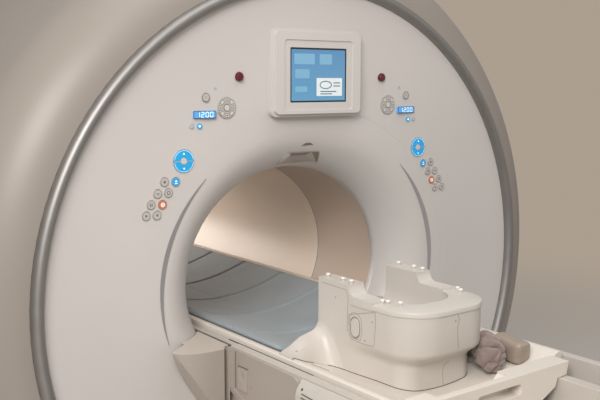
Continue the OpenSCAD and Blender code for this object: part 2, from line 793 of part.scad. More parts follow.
// Fall from the ridge to the foot: [share of the width, share of the height]
wing_fall = [[0.08, 0], [0.35, 0.08], [0.6, 0.3], [0.8, 0.62], [0.93, 0.86], [1, 1]];
wing_low = -200;
module coil_wings() {
    m = len(wing_fall) - 1;
    loops = [for (w = wing) let (run = w[3] - w[1], drop = w[2] - w[4],
        fall = [for (i = [m : -1 : 0]) [w[1] + run * wing_fall[i][0], w[2] - drop * wing_fall[i][1]]])
        [for (p = concat([[w[3], wing_low]], fall, [[w[1], w[2] - 3], [w[1], wing_low]]))
            [w[0], ring_y - p[0], iso_h + p[1]]]];
    skin(loops);
    mirror([1, 0, 0]) skin(loops);
}

peg_x = 131;
peg_d = 9;
peg_h = 9;
tall_pegs = [201, 264, 298];
// Pegs along the low rim: [x, distance from the ring plane]
rim_pegs = [[-117, 404], [-110.5, 417], [-95.5, 447], [142, 421], [131, 442]];
module head_coil() {
    color(cover_white) difference() {
        union() {
            difference() {
                coil_body();
                for (s = [-1, 1]) translate([s > 0 ? coil_w : -coil_w - 10, tall_end - 12, iso_h + coil_rim - 18])
                    cube([10, coil_tall_l + 20, 30]);
            }
            coil_wings();
            translate([-coil_w, tall_end, iso_h]) cube([2 * coil_w, coil_tall_l, coil_top]);
            translate([-coil_w - band, tall_end - 96, iso_h + coil_rim - 16])
                cube([2 * coil_w + 2 * band, 84, 21]);
            translate([-coil_w, 0, 0]) rotate([90, 0, 90]) linear_extrude(2 * coil_w) polygon([
                [tall_end + 1, iso_h], [tall_end + 1, iso_h + coil_top], [tall_end - 3, iso_h + 46],
                [tall_end - 8, iso_h + 38], [tall_end - 18, iso_h + 33], [tall_end - 88, iso_h + 32],
                [tall_end - 100, iso_h + coil_rim - 1], [tall_end - 100, iso_h]]);
            for (s = [-1, 1], y = tall_pegs) translate([s * peg_x, ring_y - y, iso_h + coil_top - 1])
                cylinder(d = peg_d, h = peg_h, $fn = 24);
            for (p = rim_pegs) translate([p[0], ring_y - p[1], iso_h + coil_rim - 1])
                cylinder(d = peg_d, h = peg_h, $fn = 24);
        }
        coil_bowl();
        bed_cut(ring_y - 700, ring_y);
        for (s = [-1, 1]) latch_pocket(s);
    }
}

latch_at = [-337, -47];
latch_w = 32;
latch_h = 50;
module latch_oval(w, h, x0, x1) {
    translate([x0, ring_y + latch_at[0], iso_h + latch_at[1]]) rotate([90, 0, 90])
        linear_extrude(x1 - x0) union() {
            square([w, h - w], center = true);
            for (z = [-1, 1]) translate([0, z * (h - w) / 2]) circle(d = w, $fn = 48);
        }
}

latch_deep = 24;
module latch_pocket(s) {
    x = s > 0 ? coil_w - latch_deep : -coil_w - 10;
    latch_oval(latch_w + 2, latch_h + 2, x, x + latch_deep + 10);
}

module coil_latch(s) {
    x = s > 0 ? coil_w - latch_deep + 4 : -coil_w - 2;
    color([0.80, 0.79, 0.77]) latch_oval(latch_w, latch_h, x, x + latch_deep - 2);
}

module boot_place() {
    translate([127, ring_y - 470.5, iso_h - 150]) rotate([0, 90, -37]) children();
}

boot_l = 26;
boot_d = 24;
module cable_boot() {
    color([0.45, 0.46, 0.48]) boot_place() {
        cylinder(d = boot_d - 6, h = boot_l, $fn = 48);
        for (i = [0 : 3]) translate([0, 0, 1 + 6 * i]) cylinder(d = boot_d, h = 3, $fn = 48);
    }
}

// Each row: [x, distance from the ring plane, z, radius]
sleeve_path = [[174, 462, -126, 26], [170, 482, -119, 35], [161, 505, -116, 40], [151, 528, -118, 42],
    [142, 551, -126, 39], [137, 572, -140, 29]];
module cable_sleeve() {
    n = 14;
    color([0.62, 0.58, 0.56]) difference() {
        skin([for (p = sleeve_path) [for (i = [0 : n - 1]) let (t = 360 * i / n, r = p[3])
            [p[0] + r * cos(t), ring_y - p[1] - 0.2 * r * cos(t), iso_h + p[2] - 1.1 * r * sin(t)]]]);
        bed_cut(ring_y - 700, ring_y - 400);
        boot_place() translate([0, 0, -10]) cylinder(d = boot_d + 1, h = boot_l + 10 + fit, $fn = 48);
        coil_body(1);
    }
}

block_l = 104;
block_w = 58;
block_top = -92;
module connector_block() {
    r = 18;
    color([0.70, 0.66, 0.60]) difference() {
        translate([228, ring_y - 548, iso_h]) rotate([4, 0, -8]) intersection() {
            translate([0, 0, -150]) linear_extrude(200) union() {
                square([block_w - 2 * r, block_l], center = true);
                square([block_w, block_l - 2 * r], center = true);
                for (x = [-1, 1], y = [-1, 1]) translate([x * (block_w / 2 - r), y * (block_l / 2 - r)])
                    circle(r, $fn = 40);
            }
            rotate([90, 0, 0]) linear_extrude(2 * block_l, center = true) union() {
                translate([-block_w / 2, -150]) square([block_w, 150 + block_top - r]);
                translate([-block_w / 2 + r, -150]) square([block_w - 2 * r, 150 + block_top]);
                for (x = [-1, 1]) translate([x * (block_w / 2 - r), block_top - r]) circle(r, $fn = 40);
            }
        }
        bed_cut(ring_y - 700, ring_y - 400);
    }
}

front_cover();
bore_funnel();
trim_ring();
front_shoulder();
side_covers();
rear_cover();
rear_funnel();
front_liner();
main_liner();
body_coil();
gradient_coil();
magnet_vessel();
magnet_feet();
base_skirts();
floor_plinth();
display_housing();
display_screen();
accent_inlays();
light_window();
readouts();
direction_pads();
small_lamps();
docking_apron();
bore_bridge();
table_frame();
side_panels();
side_rail_covers();
column_upper();
column_lower();
table_foot();
tabletop();
table_pad();
head_coil();
coil_latch(-1);  // coil_latch_left
coil_latch(1);  // coil_latch_right
cable_boot();
cable_sleeve();
connector_block();
stop_key(-1);  // stop_key_left
stop_key(1);  // stop_key_right
pair_key(-1, 1);  // in_key_left
pair_key(1, 1);  // in_key_right
pair_key(-1, -1);  // out_key_left
pair_key(1, -1);  // out_key_right
round_key(1, -1);  // round_key_1_left
round_key(2, -1);  // round_key_2_left
round_key(3, -1);  // round_key_3_left
round_key(4, -1);  // round_key_4_left
round_key(5, -1);  // round_key_5_left
round_key(6, -1);  // round_key_6_left
round_key(7, -1);  // round_key_7_left
round_key(8, -1);  // round_key_8_left
round_key(1, 1);  // round_key_1_right
round_key(2, 1);  // round_key_2_right
round_key(3, 1);  // round_key_3_right
round_key(4, 1);  // round_key_4_right
round_key(5, 1);  // round_key_5_right
round_key(6, 1);  // round_key_6_right
round_key(7, 1);  // round_key_7_right
round_key(8, 1);  // round_key_8_right
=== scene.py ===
import math
from math import cos, radians, sin

import bmesh
import bpy
import numpy as np
from mathutils import Matrix, Vector, noise
from mathutils.bvhtree import BVHTree

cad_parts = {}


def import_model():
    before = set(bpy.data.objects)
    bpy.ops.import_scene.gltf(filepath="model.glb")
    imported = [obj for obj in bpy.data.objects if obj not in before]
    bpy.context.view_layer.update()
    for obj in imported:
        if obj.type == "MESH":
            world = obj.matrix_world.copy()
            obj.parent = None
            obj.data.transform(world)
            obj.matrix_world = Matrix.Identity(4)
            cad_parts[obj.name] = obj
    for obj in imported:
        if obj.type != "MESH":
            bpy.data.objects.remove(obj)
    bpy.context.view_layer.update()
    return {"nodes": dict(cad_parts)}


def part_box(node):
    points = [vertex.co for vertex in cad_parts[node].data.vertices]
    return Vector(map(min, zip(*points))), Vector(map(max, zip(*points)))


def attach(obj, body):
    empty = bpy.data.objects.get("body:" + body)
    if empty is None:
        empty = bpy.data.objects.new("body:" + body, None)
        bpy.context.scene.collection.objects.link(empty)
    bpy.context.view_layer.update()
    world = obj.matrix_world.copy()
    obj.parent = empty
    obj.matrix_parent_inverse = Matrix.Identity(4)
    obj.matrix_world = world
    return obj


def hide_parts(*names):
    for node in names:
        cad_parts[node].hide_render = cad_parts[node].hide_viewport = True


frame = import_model()
nodes = frame["nodes"]

# places in metres: height of the bore's axis, plane of the trim ring, plane of the face

ISO = 1.05
RING_Y = -0.82
FACE_Y = RING_Y + 0.039

# camera

CAMERA_SPOT = (-1.594, -2.8244, 1.6367)
CAMERA_PAN = -37.15
CAMERA_TILT = 90 - 7.75
CAMERA_ROLL = 0.12
LENS = 52.37


def new_object(name, data):
    o = bpy.data.objects.new(name, data)
    bpy.context.scene.collection.objects.link(o)
    return o


def make_camera():
    def turned(degrees, axis):
        return Matrix.Rotation(radians(degrees), 4, axis)

    data = bpy.data.cameras.new("camera")
    data.sensor_width = 36.0
    data.sensor_fit = "HORIZONTAL"
    data.lens = LENS
    data.clip_start = 0.05
    data.clip_end = 60.0
    cam = new_object("camera", data)
    turn = turned(CAMERA_PAN, "Z") @ turned(CAMERA_TILT, "X")
    cam.matrix_world = Matrix.Translation(CAMERA_SPOT) @ turn @ turned(CAMERA_ROLL, "Z")
    bpy.context.scene.camera = cam


make_camera()

# materials


def add_node(nt, kind, **values):
    """A new shader node with its inputs set; From_Min stands for the input From Min."""
    node = nt.nodes.new("ShaderNode" + kind)
    for name, value in values.items():
        node.inputs[name.replace("_", " ")].default_value = value
    return node


def node_of(nt, kind):
    return next(n for n in nt.nodes if n.type == kind)


ROUGH_VARY = 0.06
# The colour inputs and output of a Mix node
MIX_A, MIX_B, MIXED = 6, 7, 2


def procedural(name, color, rough, vary, scale, grain, bump, metal=0.0, coat=0.0, sheen=0.0, emit=0.0):
    """A finish whose colour and roughness vary in broad patches, with a fine grain in its relief."""
    m = bpy.data.materials.new(name)
    m.use_nodes = True
    nt = m.node_tree
    wire = nt.links.new
    nt.nodes.clear()
    out = add_node(nt, "OutputMaterial")
    bsdf = add_node(nt, "BsdfPrincipled", Metallic=metal, Coat_Weight=coat, Sheen_Weight=sheen)
    wire(bsdf.outputs[0], out.inputs[0])
    place = add_node(nt, "TexCoord").outputs["Object"]
    broad = add_node(nt, "TexNoise", Scale=scale, Detail=4.0)
    wire(place, broad.inputs["Vector"])
    shade = add_node(nt, "MapRange", From_Min=0.3, From_Max=0.7, To_Min=1.0 - vary, To_Max=1.0 + vary)
    wire(broad.outputs["Fac"], shade.inputs["Value"])
    grey = add_node(nt, "CombineColor")
    for i in range(3):
        wire(shade.outputs[0], grey.inputs[i])
    mix = add_node(nt, "Mix", Factor=1.0)
    mix.data_type = "RGBA"
    mix.blend_type = "MULTIPLY"
    mix.inputs[MIX_A].default_value = (*color, 1.0)
    wire(grey.outputs[0], mix.inputs[MIX_B])
    wire(mix.outputs[MIXED], bsdf.inputs["Base Color"])
    smoothest, roughest = max(0.02, rough - ROUGH_VARY), min(1.0, rough + ROUGH_VARY)
    gloss = add_node(nt, "MapRange", To_Min=smoothest, To_Max=roughest)
    wire(broad.outputs["Fac"], gloss.inputs["Value"])
    wire(gloss.outputs[0], bsdf.inputs["Roughness"])
    fine = add_node(nt, "TexNoise", Scale=grain, Detail=2.0)
    wire(place, fine.inputs["Vector"])
    relief = add_node(nt, "Bump", Strength=bump, Distance=0.001)
    wire(fine.outputs["Fac"], relief.inputs["Height"])
    wire(relief.outputs[0], bsdf.inputs["Normal"])
    if emit:
        wire(mix.outputs[MIXED], bsdf.inputs["Emission Color"])
        bsdf.inputs["Emission Strength"].default_value = emit
    return m


# Each row: colour, roughness, share by which the colour varies, scale of that variation, scale and depth
# of the grain
FINISHES = {
    "cover_paint": ((0.50, 0.465, 0.43), 0.42, 0.015, 2.5, 1400, 0.035),
    "face_paint": ((0.60, 0.57, 0.55), 0.38, 0.015, 2.5, 1400, 0.03),
    "table_side_paint": ((0.39, 0.34, 0.30), 0.46, 0.02, 4, 1400, 0.04),
    "ring_metal": ((0.35, 0.336, 0.327), 0.53, 0.03, 30, 2200, 0.05),
    "liner_paint": ((0.74, 0.61, 0.49), 0.36, 0.03, 3, 900, 0.03),
    "deep_paint": ((0.50, 0.39, 0.31), 0.45, 0.04, 3, 900, 0.03),
    "glass_fibre": ((0.55, 0.47, 0.30), 0.5, 0.12, 60, 400, 0.2),
    "cast_resin": ((0.30, 0.20, 0.10), 0.5, 0.15, 20, 300, 0.2),
    "vessel_paint": ((0.62, 0.63, 0.64), 0.4, 0.03, 5, 500, 0.08),
    "foot_paint": ((0.16, 0.165, 0.175), 0.5, 0.08, 15, 500, 0.12),
    "dark_plastic": ((0.02, 0.02, 0.022), 0.55, 0.2, 15, 900, 0.1),
    # A dark finish for the table's edge seals, and painted contact shade for the line at the coil's foot
    "dark_gap_and_contact_shade": ((0.035, 0.03, 0.027), 0.7, 0.1, 30, 900, 0.05),
    "accent_paint": ((0.30, 0.285, 0.29), 0.4, 0.04, 12, 900, 0.04),
    "window_gloss": ((0.52, 0.50, 0.49), 0.15, 0.03, 12, 900, 0.01),
    "readout_gloss": ((0.09, 0.32, 0.66), 0.2, 0.1, 40, 900, 0.01),
    "key_grey": ((0.50, 0.48, 0.46), 0.38, 0.05, 60, 1500, 0.03),
    "key_blue": ((0.02, 0.33, 0.66), 0.3, 0.05, 60, 1500, 0.02),
    "key_orange": ((0.62, 0.16, 0.03), 0.3, 0.05, 60, 1500, 0.02),
    "key_red": ((0.11, 0.003, 0.012), 0.35, 0.08, 60, 1500, 0.02),
    "lit_mark": ((0.65, 0.85, 0.98), 0.4, 0.03, 80, 1500, 0.01),
    "column_paint": ((0.50, 0.50, 0.50), 0.35, 0.03, 6, 700, 0.05),
    "foot_dark": ((0.07, 0.072, 0.08), 0.45, 0.08, 8, 600, 0.1),
    "coil_shell_paint": ((0.60, 0.56, 0.515), 0.34, 0.012, 8, 1600, 0.025),
    "coil_seam": ((0.26, 0.235, 0.21), 0.6, 0.05, 60, 900, 0.02),
    "key_collar": ((0.52, 0.49, 0.465), 0.4, 0.04, 60, 1500, 0.02),
    "key_pale": ((0.62, 0.585, 0.55), 0.36, 0.03, 60, 1500, 0.02),
    "screen_soft": ((0.17, 0.37, 0.54), 0.2, 0.02, 20, 900, 0.005),
    "screen_white": ((0.70, 0.74, 0.76), 0.2, 0.02, 20, 900, 0.005),
    "screen_ink": ((0.05, 0.22, 0.34), 0.25, 0.03, 40, 900, 0.005),
    "window_pane": ((0.36, 0.325, 0.31), 0.16, 0.03, 12, 900, 0.01),
    # The window's light facet is painted paler and its side, top and notch facets darker than the pane:
    # painted light and painted shade.
    "window_facet": ((0.40, 0.36, 0.31), 0.22, 0.03, 12, 900, 0.01),
    "window_shade": ((0.20, 0.165, 0.135), 0.3, 0.03, 12, 900, 0.01),
    "seam_bead": ((0.72, 0.66, 0.58), 0.35, 0.02, 30, 900, 0.02),
    "knit_cuff": ((0.21, 0.195, 0.195), 0.85, 0.1, 80, 1500, 0.3),
    "plate_paint": ((0.44, 0.39, 0.345), 0.42, 0.02, 20, 1400, 0.03),
    "groove_shade": ((0.13, 0.115, 0.10), 0.6, 0.05, 30, 900, 0.03),
    # The apron's ledge and flank finishes are paler copies of its paint: painted light.
    "apron_ledge_painted_light": ((0.54, 0.485, 0.435), 0.42, 0.02, 4, 1400, 0.03),
    "apron_flank_painted_light": ((0.47, 0.415, 0.37), 0.44, 0.02, 4, 1400, 0.03),
    # The drum's shoulder, side covers and rear cover get a darker copy of the cover paint: painted shade.
    "shoulder_painted_shade": ((0.30, 0.265, 0.235), 0.42, 0.015, 2.5, 1400, 0.035),
    "rail_paint": ((0.54, 0.50, 0.455), 0.40, 0.015, 3, 1400, 0.035),
    "pad_trim": ((0.17, 0.195, 0.215), 0.6, 0.06, 60, 1200, 0.1),
    "key_rim": ((0.30, 0.285, 0.275), 0.45, 0.05, 60, 1500, 0.03),
    "key_legend": ((0.11, 0.105, 0.10), 0.5, 0.05, 60, 1500, 0.01),
    "screen_bezel": ((0.012, 0.014, 0.018), 0.35, 0.1, 60, 900, 0.02),
    "tabletop_paint": ((0.72, 0.665, 0.605), 0.36, 0.012, 6, 1500, 0.03),
    "apron_paint": ((0.38, 0.335, 0.295), 0.42, 0.015, 3, 1400, 0.03),
    "screw_cap": ((0.33, 0.31, 0.29), 0.35, 0.08, 90, 900, 0.05),
    "peg_plastic": ((0.82, 0.81, 0.79), 0.3, 0.02, 60, 1500, 0.02),
    "connector_paint": ((0.33, 0.27, 0.22), 0.28, 0.03, 20, 1500, 0.04),
}
# What some finishes have besides
BESIDES = {
    "ring_metal": {"metal": 1.0}, "window_gloss": {"coat": 0.4},
    "readout_gloss": {"emit": 0.35, "coat": 0.4}, "key_grey": {"coat": 0.15},
    "key_blue": {"coat": 0.3, "emit": 0.25}, "key_orange": {"coat": 0.3, "emit": 0.12},
    "key_red": {"coat": 0.15}, "lit_mark": {"emit": 0.6}, "screen_soft": {"emit": 0.25},
    "screen_white": {"emit": 0.20}, "window_pane": {"coat": 0.4}, "window_facet": {"coat": 0.3},
    "knit_cuff": {"sheen": 0.3}, "pad_trim": {"sheen": 0.2},
}
FINISH = {name: procedural(name, *row, **BESIDES.get(name, {})) for name, row in FINISHES.items()}


def fabric(name, color, rough, vary, threads, sheen, depth):
    """A cloth: a finish with threads that cross in its relief."""
    m = procedural(name, color, rough, vary, 9, threads, 0.05, sheen=sheen)
    nt = m.node_tree
    wire = nt.links.new
    grain = node_of(nt, "BUMP")
    place = add_node(nt, "TexCoord").outputs["Object"]
    height = add_node(nt, "Math")
    height.operation = "MAXIMUM"
    for i, axis in enumerate("XY"):
        thread = add_node(nt, "TexWave", Scale=threads, Distortion=0.6)
        thread.wave_type = "BANDS"
        thread.bands_direction = axis
        wire(place, thread.inputs["Vector"])
        wire(thread.outputs["Fac"], height.inputs[i])
    weave = add_node(nt, "Bump", Strength=depth, Distance=0.0006)
    wire(height.outputs[0], weave.inputs["Height"])
    wire(grain.outputs[0], weave.inputs["Normal"])
    wire(weave.outputs[0], node_of(nt, "BSDF_PRINCIPLED").inputs["Normal"])
    return m


# Each row: colour, roughness, variation of colour, scale of the threads, sheen and depth of the threads
FABRICS = {
    "pad_cloth": ((0.30, 0.345, 0.375), 0.62, 0.05, 420, 0.15, 0.12),
    "sleeve_cloth": ((0.25, 0.19, 0.17), 0.85, 0.12, 500, 0.4, 0.3),
}
FINISH.update({name: fabric(name, *row) for name, row in FABRICS.items()})

SCREEN_FOOT = ISO + 0.526
SCREEN_HEAD = ISO + 0.682


def screen_material():
    """The lit display, paler towards its foot."""
    m = procedural("screen_lit", (0.12, 0.36, 0.62), 0.18, 0.02, 4, 900, 0.005, coat=0.5)
    nt = m.node_tree
    wire = nt.links.new
    bsdf = node_of(nt, "BSDF_PRINCIPLED")
    split = add_node(nt, "SeparateXYZ")
    wire(add_node(nt, "TexCoord").outputs["Object"], split.inputs[0])
    height = add_node(nt, "MapRange", From_Min=SCREEN_FOOT, From_Max=SCREEN_HEAD)
    wire(split.outputs["Z"], height.inputs["Value"])
    ramp = add_node(nt, "ValToRGB")
    ramp.color_ramp.elements[0].color = (0.12, 0.32, 0.52, 1)
    ramp.color_ramp.elements[1].color = (0.065, 0.22, 0.43, 1)
    wire(height.outputs[0], ramp.inputs[0])
    wire(ramp.outputs[0], bsdf.inputs["Base Color"])
    wire(ramp.outputs[0], bsdf.inputs["Emission Color"])
    bsdf.inputs["Emission Strength"].default_value = 0.18
    return m


FINISH["screen_lit"] = screen_material()

# Each finish and the nodes that wear it; the other keys follow their names, and the rest is cover paint
WORN_BY = {
    "face_paint": ("front_cover", "bore_funnel", "display_housing"), "ring_metal": ("trim_ring",),
    "liner_paint": ("main_liner",), "deep_paint": ("front_liner",), "glass_fibre": ("body_coil",),
    "cast_resin": ("gradient_coil",), "vessel_paint": ("magnet_vessel",), "foot_paint": ("magnet_feet",),
    "dark_plastic": ("floor_plinth",), "screen_lit": ("display_screen",),
    "accent_paint": ("accent_inlays",), "window_gloss": ("light_window",), "readout_gloss": ("readouts",),
    "key_grey": ("direction_pads",), "key_blue": ("small_lamps",),
    "key_red": ("stop_key_left", "stop_key_right"), "apron_paint": ("docking_apron",),
    "table_side_paint": ("side_panels",), "column_paint": ("column_lower",), "foot_dark": ("table_foot",),
    "pad_cloth": ("table_pad",), "tabletop_paint": ("tabletop",),
    "coil_shell_paint": ("head_coil", "coil_latch_left", "coil_latch_right"), "knit_cuff": ("cable_boot",),
    "sleeve_cloth": ("cable_sleeve",), "connector_paint": ("connector_block",),
    # The shoulder, side covers and rear cover wear painted shade.
    "shoulder_painted_shade": ("front_shoulder", "side_covers", "rear_cover"),
    "rail_paint": ("side_rail_covers", "table_frame"),
}
finish_of = {node: finish for finish, worn in WORN_BY.items() for node in worn}


def key_finish(name):
    if name.startswith(("in_", "out_", "round_key_1_")):
        return "key_blue"
    return "key_orange" if name.startswith("round_key_5_") else "key_grey"


for name, obj in nodes.items():
    finish = finish_of.get(name) or (key_finish(name) if "_key_" in name else "cover_paint")
    obj.data.materials.clear()
    obj.data.materials.append(FINISH[finish])

# forms


def at(x, y, z):
    """A point given in millimetres from the bore's axis and the trim ring's plane."""
    return Vector((x / 1000, RING_Y + y / 1000, ISO + z / 1000))


def surface_of(*meshes):
    """A search tree over meshes, to drop points on."""
    verts, faces = [], []
    for mesh in meshes:
        first = len(verts)
        verts += [v.co.copy() for v in mesh.vertices]
        faces += [[first + i for i in p.vertices] for p in mesh.polygons]
    return BVHTree.FromPolygons(verts, faces)


def tree(*names):
    return surface_of(*(nodes[n].data for n in names))


def land(surface, start, way):
    """Where a ray meets a surface, and the normal there that faces the ray."""
    spot, normal = surface.ray_cast(Vector(start), Vector(way))[:2]
    if spot is None:
        raise SystemExit(f"nothing to land on from {tuple(start)}")
    return spot, (normal if normal.dot(Vector(way)) < 0 else -normal)


def trace(surface, corners, start, way, step=8.0, closed=False):
    """Drops a polyline on a surface: the places and normals along it."""
    ends = list(corners) + ([corners[0]] if closed else [])
    spots = []
    for a, b in zip(ends, ends[1:]):
        n = max(1, round(math.dist(a, b) / step))
        spots += [land(surface, start(*(p + (q - p) * i / n for p, q in zip(a, b))), way) for i in range(n)]
    return spots if closed else spots + [land(surface, start(*ends[-1]), way)]


def turns(n, start=0.0):
    """Angles spread evenly, once round."""
    return [2 * math.pi * (i + start) / n for i in range(n)]


def on_oval(x, z, a, b, t):
    return x + a * cos(t), z + b * sin(t)


def link(name, mesh, material, body):
    o = new_object(name, mesh)
    mesh.materials.clear()
    mesh.materials.append(material)
    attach(o, body)
    return o


def stand_in(name, mesh, body, node):
    """Links a mesh as the piece that stands for a node and wears its finish."""
    o = link(name, mesh, nodes[node].data.materials[0], body)
    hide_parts(node)
    return o


def smooth(mesh, angle=32):
    mesh.shade_smooth()
    mesh.set_sharp_from_angle(angle=radians(angle))


# How far a flat mark stands out of the surface that carries it, and how deep it reaches
RISE = 0.00025
SUNK = 0.0006


class Form:
    """Collects closed shapes, and hands them over as one piece."""

    def __init__(self):
        self.bm = bmesh.new()

    def skin(self, rings, ring=False):
        """Joins rows of points into a skin, closed at its ends or, as a ring, from last row to first."""
        rows = [[self.bm.verts.new(p) for p in r] for r in rings]
        n = len(rows[0])
        for a, b in zip(rows, rows[1:] + rows[:1]) if ring else zip(rows, rows[1:]):
            for i in range(n):
                k = (i + 1) % n
                self.bm.faces.new((a[i], a[k], b[k], b[i]))
        if not ring:
            self.bm.faces.new(rows[0][::-1])
            self.bm.faces.new(rows[-1])

    def strip(self, spots, width, rise=0.0003, sunk=0.0008, closed=False):
        """A low bead along places on a surface."""
        rings = []
        last = len(spots) - 1
        for i, (p, n) in enumerate(spots):
            before = spots[i - 1][0] if i or closed else p
            after = spots[(i + 1) % len(spots)][0] if i < last or closed else p
            side = (after - before).cross(n).normalized() * (width / 2)
            rings.append([p - side - n * sunk, p - side * 0.9 + n * rise, p + side * 0.9 + n * rise,
                          p + side - n * sunk])
        self.skin(rings, ring=closed)

    def stand(self, outline, y0, y1, edge=0.0):
        """A plate that faces -Y, from y0 in front to y1 behind, with its front edge eased."""
        rows = [(outline(0), y1), (outline(0), y0 + edge)] + ([(outline(-edge), y0)] if edge else [])
        self.skin([[(x, y, z) for x, z in r] for r, y in rows])

    def mark(self, outline, y):
        """A thin plate on a surface at y."""
        self.stand(outline, y - RISE, y + SUNK)

    def hoop(self, outer, inner, y0, y1, edge=0.0):
        """A frame that faces -Y, between an outer and an inner outline."""
        rows = [(outer(0), y1), (outer(0), y0 + edge), (outer(-edge), y0), (inner(edge), y0),
                (inner(0), y0 + edge), (inner(0), y1)]
        self.skin([[(x, y, z) for x, z in r] for r, y in rows], ring=True)

    def washer(self, x, z, radii, y0, y1, edge=0.0, n=48):
        """A flat ring that faces -Y, between an outer and an inner radius."""
        self.hoop(*(circle(x, z, r, n) for r in radii), y0, y1, edge)

    def panel(self, surface, corners, start, way, cells, rise=0.0006):
        """Lays a four-cornered patch on a surface, as a grid of cells by cells faces."""
        sunk = 0.0004
        a, b, c, d = corners
        top, low = [], []
        for i in range(cells + 1):
            for j in range(cells + 1):
                u, v = i / cells, j / cells
                p = [(1 - u) * (1 - v) * a[k] + u * (1 - v) * b[k] + u * v * c[k] + (1 - u) * v * d[k]
                     for k in (0, 1)]
                spot, normal = land(surface, start(*p), way)
                top.append(self.bm.verts.new(spot + normal * rise))
                low.append(self.bm.verts.new(spot - normal * sunk))
        m = cells + 1
        for i in range(cells):
            for j in range(cells):
                q = (i * m + j, (i + 1) * m + j, (i + 1) * m + j + 1, i * m + j + 1)
                self.bm.faces.new([top[k] for k in q])
                self.bm.faces.new([low[k] for k in reversed(q)])
        rim = [i * m for i in range(m)] + [cells * m + j for j in range(1, m)]
        rim += [i * m + cells for i in range(cells - 1, -1, -1)] + [j for j in range(cells - 1, 0, -1)]
        for p, q in zip(rim, rim[1:] + rim[:1]):
            self.bm.faces.new((top[p], low[p], low[q], top[q]))

    def dome(self, spot, normal, r, h, recess=0.0):
        """A low screw head or cap standing on a surface, with a round recess when one is asked for."""
        side = normal.orthogonal().normalized()
        other = normal.cross(side)
        profile = [(r, -0.4 * h), (r, 0.45 * h), (0.88 * r, 0.85 * h), (0.65 * r, h)]
        profile += [(recess, h), (recess * 0.9, 0.2 * h)] if recess else [(0.2 * r, 1.05 * h)]
        self.skin([[spot + (side * cos(t) + other * sin(t)) * q + normal * g
                    for t in turns(24)] for q, g in profile])

    def mesh(self, name):
        bmesh.ops.recalc_face_normals(self.bm, faces=self.bm.faces)
        mesh = bpy.data.meshes.new(name)
        self.bm.to_mesh(mesh)
        self.bm.free()
        return mesh

    def done(self, name, finish, body="gantry", angle=32):
        mesh = self.mesh(name)
        smooth(mesh, angle)
        return link(name, mesh, FINISH[finish], body)


def circle(x, z, r, n=48):
    """An outline as a function of how far it is let out, as are the next two."""
    return lambda g=0.0: [on_oval(x, z, r + g, r + g, t) for t in turns(n)]


def rounded(x, z, w, h, r, n=6):
    def outline(g=0.0):
        q = max(r + g, 1e-4)
        points = []
        for k, (sx, sz) in enumerate(((1, 1), (-1, 1), (-1, -1), (1, -1))):
            for i in range(n + 1):
                t = (k + i / n) * math.pi / 2
                points.append(on_oval(x + sx * (w / 2 + g - q), z + sz * (h / 2 + g - q), q, q, t))
        return points
    return outline


def corners_of(points):
    return lambda g=0.0: points


def welded(node):
    """A copy of a node's mesh with its doubled points joined."""
    mesh = nodes[node].data.copy()
    bm = bmesh.new()
    bm.from_mesh(mesh)
    bmesh.ops.remove_doubles(bm, verts=bm.verts, dist=1e-5)
    bm.to_mesh(mesh)
    bm.free()
    for att in list(mesh.attributes):
        if att.name == "custom_normal":
            mesh.attributes.remove(att)
    return mesh


# How far from its rim a flare's shading turns into that of the face
FADE = 0.030


def smooth_copy(node, name, body, angle=32, flush=None):
    """A smooth-shaded copy of a node; flush names the plane that its rim runs into without a crease."""
    mesh = welded(node)
    smooth(mesh, angle)
    if flush is not None:
        ahead = Vector((0, math.copysign(1, flush), 0))
        bent = []
        for v in mesh.vertices:
            t = max(0.0, 1 - abs(v.co.y - flush) / FADE)
            bent.append(v.normal.lerp(ahead, t * t * (3 - 2 * t)).normalized())
        mesh.normals_split_custom_set_from_vertices(bent)
    stand_in(name, mesh, body, node)


def baked(mesh, edit):
    """The mesh after the modifiers that edit puts on an object of it."""
    tmp = new_object("tmp", mesh)
    edit(tmp)
    result = bpy.data.meshes.new_from_object(tmp.evaluated_get(bpy.context.evaluated_depsgraph_get()))
    bpy.data.objects.remove(tmp)
    return result


def bevel_copy(node, name, body, width, angle=30):
    """A copy of a node with its sharp edges rounded."""
    mesh = welded(node)
    bm = bmesh.new()
    bm.from_mesh(mesh)
    bmesh.ops.dissolve_limit(bm, angle_limit=0.005, verts=bm.verts, edges=bm.edges)
    bm.to_mesh(mesh)
    bm.free()
    mesh.shade_smooth()

    def edit(o):
        m = o.modifiers.new("edge", "BEVEL")
        m.width = width
        m.segments = 3
        m.limit_method = "ANGLE"
        m.angle_limit = radians(angle)
        m.harden_normals = True

    stand_in(name, baked(mesh, edit), body, node)


def remesh(o, voxel):
    m = o.modifiers.new("voxels", "REMESH")
    m.mode = "VOXEL"
    m.voxel_size = voxel


# The dish's tilt at the trim ring, the radius where it starts, and the length over which it grows
DISH_TILT = radians(8.5)
DISH_START = 0.6
DISH_REACH = 0.35


def dish_skin():
    """The face, with its dish shaded as one even curve from the flat round the flare out to the ring."""
    mesh = welded("front_cover")
    smooth(mesh, 32)
    bent = [n.vector.copy() for n in mesh.corner_normals]
    for f in mesh.polygons:
        if f.normal.y > -0.95:
            continue
        for i in f.loop_indices:
            v = mesh.vertices[mesh.loops[i].vertex_index].co
            r = math.hypot(v.x, v.z - ISO)
            t = DISH_TILT * min(1.0, max(0.0, (r - DISH_START) / DISH_REACH))
            bent[i] = Vector((-sin(t) * v.x / r, -cos(t), -sin(t) * (v.z - ISO) / r))
    mesh.normals_split_custom_set(bent)
    stand_in("front_cover_skin", mesh, "gantry", "front_cover")


